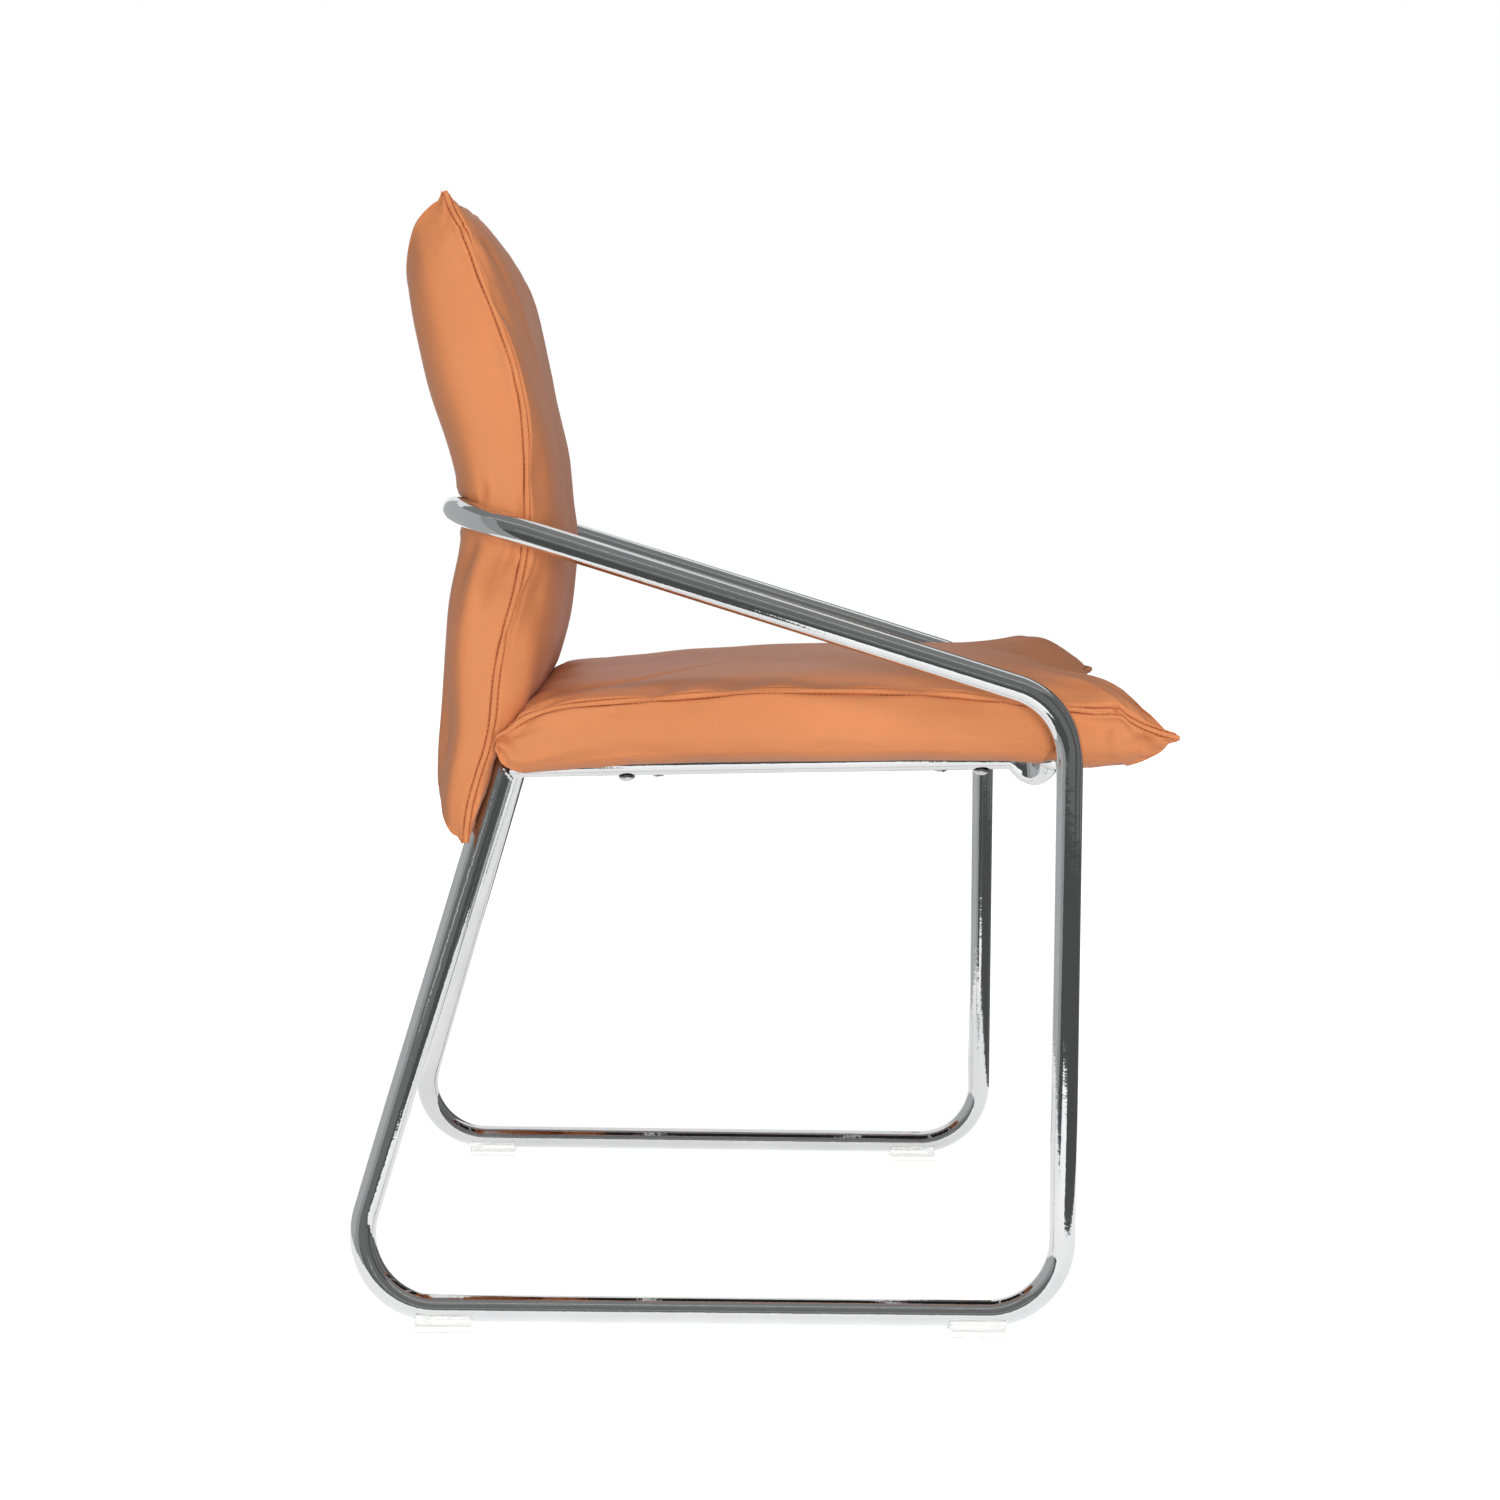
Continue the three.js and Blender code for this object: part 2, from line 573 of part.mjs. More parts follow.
// All the rings of a cushion's skin, from the middle of the crown over the seam to the end of the
// side panel. A ring is a list of points (across, along, towards the sitter).
function cushionRings(cushion) {
  const outline = outlinePoints();
  const placeOf = (v) => (v - cushion.low) / (cushion.high - cushion.low);
  const weltOf = (point) => cushion.welt(placeOf(outlineAt(cushion, point, 1, 0, 1).v));
  const crown = crownRingShares.map((share) => outline.map((point) => {
    const { u, v } = outlineAt(cushion, point, share ** earSharpness, 0, share);
    const edgeRoll = cushion.roll[point.edge] ?? cushion.roll.side;
    const [flatness, fullness] = edgeRoll.map((value, i) => (
      THREE.MathUtils.lerp(value, cushion.roll.corner[i], point.corner)
    ));
    const fall = (1 - share ** flatness) ** fullness;
    const height = THREE.MathUtils.lerp(weltOf(point), cushion.crown(placeOf(v)), fall);
    return new THREE.Vector3(u, v, height);
  }));
  const side = sideRingShares.map(([depth, ear, swell]) => outline.map((point) => {
    const { u, v } = outlineAt(cushion, point, ear, swell * sideSwell, 1);
    const height = THREE.MathUtils.lerp(weltOf(point), cushion.floor(placeOf(v)), depth);
    return new THREE.Vector3(u, v, height);
  }));
  return { crown, side: [...side, ...cushion.closing(outline, placeOf)] };
}

// Triangles between two rings, or from a ring to a point
function stitch(positions, ringA, ringB) {
  const count = Math.max(ringA.length, ringB.length);
  for (let i = 0; i < count; i += 1) {
    const next = (i + 1) % count;
    if (ringA.length > 1) positions.push(ringA[i], ringB[i % ringB.length], ringA[next]);
    if (ringB.length > 1) positions.push(ringA[next % ringA.length], ringB[i], ringB[next]);
  }
}

// The corners of all triangles of a sheet through a row of rings
function sheet(rings) {
  const corners = [];
  for (let i = 0; i + 1 < rings.length; i += 1) stitch(corners, rings[i], rings[i + 1]);
  return corners;
}

// The same sheet with its face turned over
function turnedOver(corners) {
  return corners.map((corner, i) => corners[i + [0, 1, -1][i % 3]]);
}

// A closed solid from the corners of its triangles
function solidWithin(corners, frame) {
  const geometry = new THREE.BufferGeometry().setFromPoints(corners);
  geometry.applyMatrix4(frame);
  return solidFrom(geometry);
}

// The largest body of a solid, without the slivers that a cut may leave
function largest(solid) {
  return solid.decompose().reduce((best, body) => (body.volume() > best.volume() ? body : best));
}

function ringMiddle(ring) {
  const sum = ring.reduce((total, point) => total.add(point), new THREE.Vector3());
  return [sum.divideScalar(ring.length)];
}

// The same rings moved inward by a thickness, square to the skin, or by less in a thin corner
function inset(rings, seam, thickness) {
  const count = rings[0].length;
  return rings.map((ring, row) => ring.map((point, i) => {
    const opposite = row > seam ? rings.slice(0, seam) : rings.slice(seam + 1);
    const room = Math.min(...opposite.map((other) => other[i].distanceTo(point)));
    const share = Math.min(1, room / (leatherThinningShare * leatherThickness));
    const across = ring[(i + 1) % count].clone().sub(ring[(i + count - 1) % count]);
    const before = rings[Math.max(row - 1, 0)][i];
    const after = rings[Math.min(row + 1, rings.length - 1)][i];
    const inward = across.cross(after.clone().sub(before)).normalize();
    return point.clone().addScaledVector(inward, share * thickness);
  }));
}

// The leather and the foam of a cushion from its rings. Tubes that press into the cushion leave a
// channel lined with leather, and `tubesAt` gives their paths for a channel wider by some amount.
function upholster(cushion, frame, tubesAt) {
  const { crown, side } = cushionRings(cushion);
  const outer = [...crown, ...side.slice(1)];
  const seam = crown.length - 1;
  const last = outer.length - 1;
  const kept = (row) => row === seam || row === last || innerRings.includes(row);
  const inner = inset(outer, seam, leatherThickness);

  // The same rings with the seam drawn back into one panel, so that the panels don't quite touch
  const panelRings = (list, towards, gap) => {
    const drawnBack = list[seam].map((point, i) => {
      const back = list[seam + towards][i].clone().sub(point);
      return point.clone().add(back.setLength(gap / 2));
    });
    return list.with(seam, drawnBack);
  };
  const crownOuter = panelRings(outer, -1, seamGap).slice(0, seam + 1);
  const crownInner = panelRings(inner, -1, seamInnerGap).slice(0, seam + 1)
    .filter((ring, row) => kept(row));
  const crownPanel = solidWithin([
    ...sheet([ringMiddle(outer[0]), ...crownOuter]),
    ...turnedOver(sheet([ringMiddle(inner[0]), ...crownInner])),
    ...sheet([crownOuter.at(-1), crownInner.at(-1)]),
  ], frame);

  const sideOuter = panelRings(outer, 1, seamGap).slice(seam);
  const sideInner = panelRings(inner, 1, seamInnerGap).slice(seam)
    .filter((ring, row) => kept(seam + row));
  const middles = (list) => (cushion.openBelow ? [] : [ringMiddle(list.at(-1))]);
  const sidePanel = solidWithin([
    ...sheet([...sideOuter, ...middles(sideOuter)]),
    ...turnedOver(sheet([...sideInner, ...middles(sideInner)])),
    ...turnedOver(sheet([sideOuter[0], sideInner[0]])),
    ...(cushion.openBelow ? sheet([sideOuter.at(-1), sideInner.at(-1)]) : []),
  ], frame);

  const closed = (list) => (
    solidWithin(sheet([ringMiddle(list[0]), ...list, ringMiddle(list.at(-1))]), frame)
  );
  const core = closed(inset(outer, seam, leatherThickness / 2));
  const foamBody = closed(inset(outer, seam, leatherThickness + foamGap).filter((ring, row) => (
    row === last || foamRings.includes(row)
  )));

  const room = (extra) => joined(tubesAt(extra).map((path) => (
    sweep(path, (tubeRadius + contactGap + extra) / boreRoundness, 0, boreSides)
  )));
  const channel = room(0);
  const lining = room(leatherThickness).subtract(channel).intersect(core);
  return {
    crownPanel: crownPanel.subtract(channel),
    sidePanel: sidePanel.subtract(channel),
    lining,
    foamBody: foamBody.subtract(room(leatherThickness + foamGap)),
    liningRoom: room(leatherThickness + contactGap),
  };
}

// Seat
const seatClothBottom = contactGap;
const seatFlangeBottom = seatClothBottom + clothThickness + contactGap;
const seatBoardBottom = seatFlangeBottom + leatherThickness + contactGap;
const seatBoardTop = seatBoardBottom + seatBoardThickness;
const seatHalfWidth = halfFrame - tubeRadius - seatSideClearance;
const seatLow = frontTopY - seatFrontOverhang;
const seatHigh = railRearY - seatRearClearance;
const seatCushion = {
  halfWidth: seatHalfWidth,
  halfLength: (seatHigh - seatLow) / 2,
  middle: (seatHigh + seatLow) / 2,
  low: seatLow - seatEar.low,
  high: seatHigh + seatEar.high,
  ear: seatEar,
  roll: seatRollShares,
  openBelow: true,
  welt: (place) => seatCrownHeight * readShares(seatWeltShares, place),
  crown: (place) => seatCrownHeight * readShares(seatCrownShares, place),
  floor: (place) => -seatRimDrop * readShares(seatRimShares, place),
  closing(outline, placeOf) {
    const ringAt = (swell, heightAt) => outline.map((point) => {
      const { u, v } = outlineAt(this, point, 0, swell, 1);
      return new THREE.Vector3(u, v, heightAt(placeOf(v)));
    });
    return [
      ringAt(-sideTuck, this.floor),
      ringAt(-seatRimWidth, () => seatFlangeBottom),
      ringAt(-seatRimWidth - seatFlangeWidth, () => seatFlangeBottom),
    ];
  },
};

// A flat plate with the seat's outline, drawn in from its edge, from one height to another
function seatPlate(edgeInset, bottom, top) {
  const outline = outlinePoints().map((point) => outlineAt(seatCushion, point, 0, -edgeInset, 1));
  const shape = new THREE.Shape(outline.map(({ u, v }) => new THREE.Vector2(u, v)));
  const geometry = new THREE.ExtrudeGeometry(shape, { depth: top - bottom, bevelEnabled: false });
  geometry.translate(0, 0, bottom);
  geometry.applyMatrix4(seatFrame);
  return solidFrom(geometry);
}

const seatParts = upholster(seatCushion, seatFrame, () => [railPath(1), railPath(-1)]);
const seatNutPlaces = moved(seatScrewPlaces(), seatUp, tubeRadius + seatBoardTop);
const nutRoom = (place, direction) => (
  rod(teeNutFlange / 2 + contactGap, teeNutFlangeThickness + 3 * contactGap, place, direction)
);
const seatNutPockets = joined(seatNutPlaces.map(({ place }) => nutRoom(place, seatUp)));
const nutHole = teeNutBarrel + 2 * contactGap;
const seatOpening = seatPlate(seatRimWidth, -tubeDiameter, seatBoardBottom);
const seatBoardGap = seatPlate(seatBoardInset - contactGap, seatBoardBottom - contactGap, seatBoardTop);
const seatBoardRoom = seatPlate(seatBoardInset - contactGap, -tubeDiameter, seatBoardTop + contactGap);

addPiece('seat_cover_top', seatParts.crownPanel, leather);
const seatLining = seatParts.lining.subtract(joined([seatOpening, seatBoardGap]));
const seatSide = seatParts.sidePanel.add(seatLining).subtract(seatHoles);
addPiece('seat_cover_side', largest(seatSide), leather);
addPiece('seat_foam', seatParts.foamBody.subtract(joined([seatBoardRoom, seatNutPockets])), foam);
const seatBoard = seatPlate(seatBoardInset, seatBoardBottom, seatBoardTop);
addPiece('seat_board', seatBoard.subtract(drill(seatScrewPlaces(), seatUp, nutHole)), plywood);
const seatClothInset = seatRimWidth + 2 * contactGap;
const seatCloth = seatPlate(seatClothInset, seatClothBottom, seatClothBottom + clothThickness);
addPiece('seat_base_cloth', seatCloth.subtract(seatHoles), blackCloth);
const seatScrewSeats = moved(seatScrewPlaces(), seatUp, -tubeRadius - contactGap);
addAtPlaces('seat_screw', seatScrewSeats, (place) => screw(seatScrewLength, place, seatUp), zincSteel);
addAtPlaces('seat_tee_nut', seatNutPlaces, (place) => teeNut(place, seatUp), zincSteel);

// Back
const backLow = backBottomHeight + backEar.low;
const backHigh = backBottomHeight + backHeight - backEar.high;
const backHalfWidth = halfFrame - tubeRadius - backSideClearance;
const backBoardWidth = 2 * (backHalfWidth - backBoardSideInset);
const backBoardFoot = backBottomHeight + backBoardFootInset;
const backBoardTop = backBottomHeight + backHeight - backBoardTopInset;
const backCushion = {
  halfWidth: backHalfWidth,
  halfLength: (backHigh - backLow) / 2,
  middle: (backHigh + backLow) / 2,
  low: backBottomHeight,
  high: backBottomHeight + backHeight,
  ear: backEar,
  roll: backRollShares,
  openBelow: false,
  welt: (place) => -backSweep * readShares(backWeltShares, place),
  crown: (place) => backCushion.welt(place) + backCrownDepth * readShares(backCrownShares, place),
  floor: (place) => backCushion.welt(place) - backRearDepth * readShares(backRearShares, place),
  closing(outline, placeOf) {
    return backRingShares.map((scale) => outline.map((point) => {
      const { u, v } = outlineAt(this, point, 0, -sideTuck, scale);
      return new THREE.Vector3(u, v, this.floor(placeOf(v)));
    }));
  },
};

// The board's middle line in side view: straight beside the posts, then bent to follow the back
function backBoardLine() {
  const lean = postAlong.y / postAlong.z;
  const behindPost = backBoardToPost / postAlong.z;
  const lineY = (z) => halfRunner + lean * (z - runnerHeight) + behindPost;
  const postTopZ = runnerHeight + postHeight;
  const foot = new THREE.Vector2(lineY(backBoardFoot), backBoardFoot);
  const bendStart = new THREE.Vector2(lineY(postTopZ), postTopZ);
  const head = new THREE.Vector2(waistY + backBoardTopSetback, backBoardTop);
  const [lowerReach, upperReach, upperLean] = backBoardBendShares;
  const rise = backBoardTop - postTopZ;
  const lowerHandle = new THREE.Vector2(lean, 1).multiplyScalar(lowerReach * rise).add(bendStart);
  const upperHandle = new THREE.Vector2(-upperLean, -1).multiplyScalar(upperReach * rise).add(head);
  const bend = new THREE.CubicBezierCurve(bendStart, lowerHandle, upperHandle, head);
  return [foot, ...bend.getPoints(boardSteps)];
}

// A thick plate with round corners that cuts the back board to its outline, seen from the sitter
function backOutlinePlate(halfWidth, low, high) {
  const shape = new THREE.Shape();
  const right = halfWidth - backBoardCorner;
  const bottom = low + backBoardCorner;
  const top = high - backBoardCorner;
  shape.absarc(right, bottom, backBoardCorner, -Math.PI / 2, 0);
  shape.absarc(right, top, backBoardCorner, 0, Math.PI / 2);
  shape.absarc(-right, top, backBoardCorner, Math.PI / 2, Math.PI);
  shape.absarc(-right, bottom, backBoardCorner, Math.PI, 1.5 * Math.PI);
  const settings = { depth: 3 * backRearDepth, bevelEnabled: false, curveSegments: 3 };
  const geometry = new THREE.ExtrudeGeometry(shape, settings);
  geometry.translate(0, 0, -2 * backRearDepth);
  geometry.applyMatrix4(backFrame);
  return solidFrom(geometry);
}

// The back board, or the room that its neighbours leave for it
function backBoardSolid(extra) {
  const line = backBoardLine();
  const half = backBoardThickness / 2 + extra;
  const last = line.length - 1;
  const edge = (offset) => line.map((point, i) => {
    const ahead = line[Math.min(i + 1, last)].clone().sub(line[Math.max(i - 1, 0)]).normalize();
    const over = { 0: -extra, [last]: extra }[i] ?? 0;
    const across = new THREE.Vector2(ahead.y, -ahead.x).multiplyScalar(offset);
    return point.clone().addScaledVector(ahead, over).add(across);
  });
  const profile = new THREE.Shape([...edge(half), ...edge(-half).reverse()]);
  const width = backBoardWidth + 2 * extra;
  const slab = new THREE.ExtrudeGeometry(profile, { depth: width, bevelEnabled: false });
  slab.applyMatrix4(new THREE.Matrix4().makeBasis(rearward, up, leftward));
  slab.translate(-width / 2, 0, 0);
  const low = backBoardFoot - extra - cutOverrun;
  const high = backBoardTop + extra + cutOverrun;
  return solidFrom(slab).intersect(backOutlinePlate(width / 2, low, high));
}

// How far behind the middle of the runners the board's middle plane lies, at a height
function backBoardPlace(z) {
  const line = backBoardLine();
  const i = line.findIndex((point) => point.y > z);
  const share = (z - line[i - 1].y) / (line[i].y - line[i - 1].y);
  return THREE.MathUtils.lerp(line[i - 1].x, line[i].x, share);
}

const plugRoom = plugHeadHeight + 2 * contactGap;
const backParts = upholster(backCushion, backFrame, (extra) => (
  [mainTubePath(1, plugRoom + extra), mainTubePath(-1, plugRoom + extra)]
));
const liningSplit = (runnerHeight + postHeight + loopZ) / 2; // between the posts and the loop
const postLining = backParts.lining.trimByPlane([0, 0, -1], -liningSplit);
const loopLining = backParts.lining.trimByPlane([0, 0, 1], liningSplit);
const postRoom = backParts.liningRoom.trimByPlane([0, 0, -1], -liningSplit);
const spacerBore = screwHoleDiameter / 2;
const spacerRadius = spacerDiameter / 2;
const boardRoom = backBoardSolid(contactGap);
const postSpacerLength = backBoardToPost - backBoardThickness / 2 - tubeRadius - 2 * contactGap;
const postSpacerPlaces = moved(postScrewPlaces(), postNormal, tubeRadius + contactGap);
const loopSpacerPlaces = moved(loopScrewPlaces(), forward, tubeRadius + contactGap);
const postNutPlaces = moved(postScrewPlaces(), postNormal, backBoardToPost + backBoardThickness / 2);
const boardBehindLoop = loopSetback - backBoardPlace(loopZ);
const loopNutPlaces = moved(loopScrewPlaces(), forward, boardBehindLoop + backBoardThickness / 2);
const spacerRoom = (place, length, direction) => (
  rod(spacerRadius + contactGap, length, place, direction)
);
const postSpacerRoom = backBoardToPost - tubeRadius;
const loopSpacerRoom = boardBehindLoop - tubeRadius;
const backNutPockets = joined([
  ...postNutPlaces.map(({ place }) => nutRoom(place, postNormal)),
  ...loopNutPlaces.map(({ place }) => nutRoom(place, forward)),
]);
const backPockets = joined([
  backNutPockets,
  ...postSpacerPlaces.map(({ place }) => spacerRoom(place, postSpacerRoom, postNormal)),
  ...loopSpacerPlaces.map(({ place }) => spacerRoom(place, loopSpacerRoom, forward)),
]);
const backNutHoles = joined([
  drill(postNutPlaces, postNormal, nutHole),
  drill(loopNutPlaces, forward, nutHole),
]);

const backCuts = joined([backPockets, postHoles, loopHoles]);
const backFront = backParts.crownPanel.add(postLining).subtract(backCuts);
addPiece('back_cover_front', largest(backFront), leather);
const backRear = backParts.sidePanel.add(loopLining).subtract(joined([backCuts, postRoom]));
addPiece('back_cover_rear', largest(backRear), leather);
const backFoam = backParts.foamBody.subtract(joined([boardRoom, backNutHoles, backCuts]));
addPiece('back_foam', largest(backFoam), foam);
addPiece('back_board', backBoardSolid(0).subtract(joined([backNutHoles, backNutPockets])), plywood);
addAtPlaces('back_post_spacer', postSpacerPlaces, (place) => (
  pipe(spacerRadius, spacerBore, postSpacerLength, place, postNormal)
), zincSteel);
addAtPlaces('back_loop_spacer', loopSpacerPlaces, (place) => (
  pipe(spacerRadius, spacerBore, loopSpacerRoom, place, forward).subtract(boardRoom)
), zincSteel);
addAtPlaces('back_lower_tee_nut', postNutPlaces, (place) => teeNut(place, postNormal), zincSteel);
addAtPlaces('back_upper_tee_nut', loopNutPlaces, (place) => teeNut(place, forward), zincSteel);
const boreReach = boreRadius * boreRoundness;
const postScrewSeat = Math.sqrt(boreReach ** 2 - (screwHeadDiameter / 2) ** 2) - contactGap;
addAtPlaces('back_post_screw', moved(postScrewPlaces(), postNormal, postScrewSeat), (place) => (
  screw(postScrewLength, place, postNormal)
), zincSteel);
addAtPlaces('back_loop_screw', moved(loopScrewPlaces(), rearward, tubeRadius + contactGap), (place) => (
  screw(loopScrewLength, place, forward)
), zincSteel);

// The origin lies on the floor, under the middle of the chair
const bounds = new THREE.Box3().setFromObject(chair);
const centre = bounds.getCenter(new THREE.Vector3());
chair.position.set(-centre.x, -centre.y, -bounds.min.z);

export default chair;
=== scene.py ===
# %% [markdown]
# # Sled base visitor chair
# This lesson dresses a finished CAD chair: one chromed tube that makes runners, legs and arms, and
# two sewn leather cushions. The CAD gives the sizes and the places. Here the tubes get smooth, the
# cushions get their seams, stitches and folds, and every surface gets its finish.

import math

import bpy
import numpy as np
from mathutils import Matrix, Vector


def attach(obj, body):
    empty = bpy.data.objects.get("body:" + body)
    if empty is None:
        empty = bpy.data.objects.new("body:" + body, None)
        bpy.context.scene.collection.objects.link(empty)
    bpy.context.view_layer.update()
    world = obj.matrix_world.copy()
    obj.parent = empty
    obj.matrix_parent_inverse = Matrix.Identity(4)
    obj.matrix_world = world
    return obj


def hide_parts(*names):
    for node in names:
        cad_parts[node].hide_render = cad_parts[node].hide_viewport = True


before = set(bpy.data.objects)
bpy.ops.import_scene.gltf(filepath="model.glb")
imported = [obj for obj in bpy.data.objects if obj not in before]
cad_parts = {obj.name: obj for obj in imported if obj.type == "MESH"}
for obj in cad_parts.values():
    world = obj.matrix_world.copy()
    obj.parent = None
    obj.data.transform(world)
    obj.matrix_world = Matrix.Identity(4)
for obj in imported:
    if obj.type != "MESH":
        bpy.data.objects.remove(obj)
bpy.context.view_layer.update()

# %% [markdown]
# ## The camera
# The photograph looks at the chair's right side from about two metres, a little above the seat and
# very slightly from behind. The camera is placed by those numbers, because a view that was worked
# out once is easier to trust than one that was pushed into place by eye.

# %% The camera
CAMERA_PLACE = Vector((-2.10207, 0.07644, 0.61541))
CAMERA_YAW = 0.0328
CAMERA_PITCH = 0.0941
CAMERA_ROLL = 0.0207
SENSOR_WIDTH = 36.0
FOCAL_PIXELS = 2504.9
PHOTO_WIDTH = 1500


def photo_camera():
    ahead = Vector((
        math.cos(CAMERA_PITCH) * math.cos(CAMERA_YAW),
        -math.cos(CAMERA_PITCH) * math.sin(CAMERA_YAW),
        -math.sin(CAMERA_PITCH),
    ))
    level_right = ahead.cross(Vector((0, 0, 1))).normalized()
    level_up = level_right.cross(ahead)
    right = level_right * math.cos(CAMERA_ROLL) + level_up * math.sin(CAMERA_ROLL)
    above = level_up * math.cos(CAMERA_ROLL) - level_right * math.sin(CAMERA_ROLL)
    turn = Matrix((right, above, -ahead)).transposed().to_4x4()
    bpy.ops.object.camera_add()
    camera = bpy.context.object
    camera.name = "photo_camera"
    camera.matrix_world = Matrix.Translation(CAMERA_PLACE) @ turn
    camera.data.sensor_width = SENSOR_WIDTH
    camera.data.lens = SENSOR_WIDTH * FOCAL_PIXELS / PHOTO_WIDTH
    return camera


bpy.context.scene.camera = photo_camera()
bpy.context.scene.view_settings.view_transform = "Standard"
print("camera lens", round(bpy.context.scene.camera.data.lens, 1), "mm")

# %% [markdown]
# ## Floor, background and lamps
# The photograph has a white background. It could be made by strong lamps, but those would wash out
# the leather. Here the floor and the world are white only to the camera and to reflections, and the
# lamps stay at a plain level. Chrome shows nothing but its surroundings, so it needs a studio to
# reflect: a ring of dark and grey flats, a dim ceiling and two bright strips, as round a
# photographer's table. Only reflections see them.

# %% Helpers for nodes
WHITE = (1.0, 1.0, 1.0, 1.0)


def new_material(name):
    material = bpy.data.materials.new(name)
    material.use_nodes = True
    tree = material.node_tree
    shader = next(n for n in tree.nodes if n.type == "BSDF_PRINCIPLED")
    return material, tree, shader


def add_node(tree, kind, **settings):
    node = tree.nodes.new(kind)
    for key, value in settings.items():
        setattr(node, key, value)
    return node


def set_inputs(node, values):
    for key, value in values.items():
        node.inputs[key].default_value = value


def object_place(tree):
    """The object's own coordinates, which every finish here reads."""
    return add_node(tree, "ShaderNodeTexCoord").outputs["Object"]


def seen_directly(tree):
    """One where the camera, a reflection or a view through glass sees the surface."""
    path = add_node(tree, "ShaderNodeLightPath")
    either = add_node(tree, "ShaderNodeMath", operation="MAXIMUM")
    tree.links.new(path.outputs["Is Camera Ray"], either.inputs[0])
    tree.links.new(path.outputs["Is Glossy Ray"], either.inputs[1])
    any_of_three = add_node(tree, "ShaderNodeMath", operation="MAXIMUM")
    tree.links.new(either.outputs[0], any_of_three.inputs[0])
    tree.links.new(path.outputs["Is Transmission Ray"], any_of_three.inputs[1])
    return any_of_three.outputs[0]


def to_object_mode():
    bpy.ops.object.mode_set(mode="OBJECT")


def deselect():
    if bpy.context.object and bpy.context.object.mode != "OBJECT":
        to_object_mode()
    bpy.ops.object.select_all(action="DESELECT")


def pick(piece):
    """Selects one piece alone and makes it the active one."""
    deselect()
    piece.select_set(True)
    bpy.context.view_layer.objects.active = piece


def edit_all():
    """Goes into edit mode with the whole mesh selected."""
    bpy.ops.object.mode_set(mode="EDIT")
    bpy.ops.mesh.select_all(action="SELECT")


# %% The floor and the world
FLOOR_SIZE = 16.0
GLOW_NEAR, GLOW_FAR = 0.75, 1.0
GLOW_FROM, GLOW_TO = 0.45, 1.7
WORLD_LIGHT = (0.25, 0.25, 0.248, 1.0)

deselect()
bpy.ops.mesh.primitive_plane_add(size=FLOOR_SIZE, location=(0, 0, 0))
floor = bpy.context.object
floor.name = "floor"
floor_paint, tree, shader = new_material("pale_floor")
set_inputs(shader, {"Base Color": (0.8, 0.8, 0.8, 1.0), "Roughness": 0.9, "Emission Color": WHITE})
shader.inputs["Specular IOR Level"].default_value = 0.0
away = add_node(tree, "ShaderNodeVectorMath", operation="LENGTH")
tree.links.new(object_place(tree), away.inputs[0])
fade = add_node(tree, "ShaderNodeMapRange", interpolation_type="SMOOTHSTEP")
set_inputs(fade, {"From Min": GLOW_FROM, "From Max": GLOW_TO,
                  "To Min": GLOW_NEAR, "To Max": GLOW_FAR})
tree.links.new(away.outputs["Value"], fade.inputs["Value"])
glow = add_node(tree, "ShaderNodeMath", operation="MULTIPLY")
tree.links.new(seen_directly(tree), glow.inputs[0])
tree.links.new(fade.outputs["Result"], glow.inputs[1])
tree.links.new(glow.outputs[0], shader.inputs["Emission Strength"])
floor.data.materials.append(floor_paint)

world = bpy.data.worlds.new("white_studio")
bpy.context.scene.world = world
world.use_nodes = True
tree = world.node_tree
background = next(n for n in tree.nodes if n.type == "BACKGROUND")
sky = add_node(tree, "ShaderNodeMix", data_type="RGBA")
sky.inputs["A"].default_value = WORLD_LIGHT
sky.inputs["B"].default_value = WHITE
tree.links.new(seen_directly(tree), sky.inputs["Factor"])
tree.links.new(sky.outputs["Result"], background.inputs["Color"])
print("floor", FLOOR_SIZE, "m wide")

# %% The lamps
CHAIR_MIDDLE = Vector((0, 0, 0.45))


def add_lamp(name, place, size, power):
    """A rectangular lamp turned to the chair. The chrome mirrors the flats and not the lamps."""
    deselect()
    bpy.ops.object.light_add(type="AREA", location=place)
    lamp = bpy.context.object
    lamp.name = name
    lamp.data.shape = "RECTANGLE"
    lamp.data.size, lamp.data.size_y = size
    lamp.data.energy = power
    lamp.visible_glossy = False
    lamp.rotation_euler = (CHAIR_MIDDLE - Vector(place)).to_track_quat("-Z", "Y").to_euler()


add_lamp("key_lamp", (-2.75, -0.2, 0.62), (0.9, 1.1), 46)
add_lamp("shadow_lamp", (-1.5, -0.5, 2.2), (0.35, 0.35), 9)
add_lamp("rear_lamp", (2.2, 2.2, 1.0), (1.2, 1.2), 20)

# %% The flats and the ceiling that the chrome reflects
FLAT_RADIUS, FLAT_HEIGHT = 3.7, 3.4
# The flats' feet run in over the floor, to this share of their radius and this far above it
FLAT_FOOT_SHARE, FLAT_FOOT_RISE = 0.17, 0.004
# From and to, in degrees round from the camera's side towards the chair's front, and how bright
FLATS = [(-150, -60, 0.55), (-60, -35, 0.4), (-35, 10, 0.2), (10, 40, 0.19), (40, 60, 0.12),
         (60, 85, 0.19), (85, 100, 0.11), (100, 112, 0.3), (112, 172, 0.14)]
DARK_FEET = (-35, 112, 0.1)
# Between these two angles the feet end further out, at this share of the radius
FOOT_CUT = (-8, 22, 0.3)
CEILING_GLOW, CEILING_FROM, CEILING_TO = 0.27, -3.7, 1.1


def turn_of(place):
    """The angle of a place round the chair, in degrees from the camera's side."""
    return math.degrees(math.atan2(-place.y, -place.x))


def only_reflected(piece):
    piece.visible_camera = False
    piece.visible_diffuse = False
    piece.visible_shadow = False
    piece.visible_transmission = False


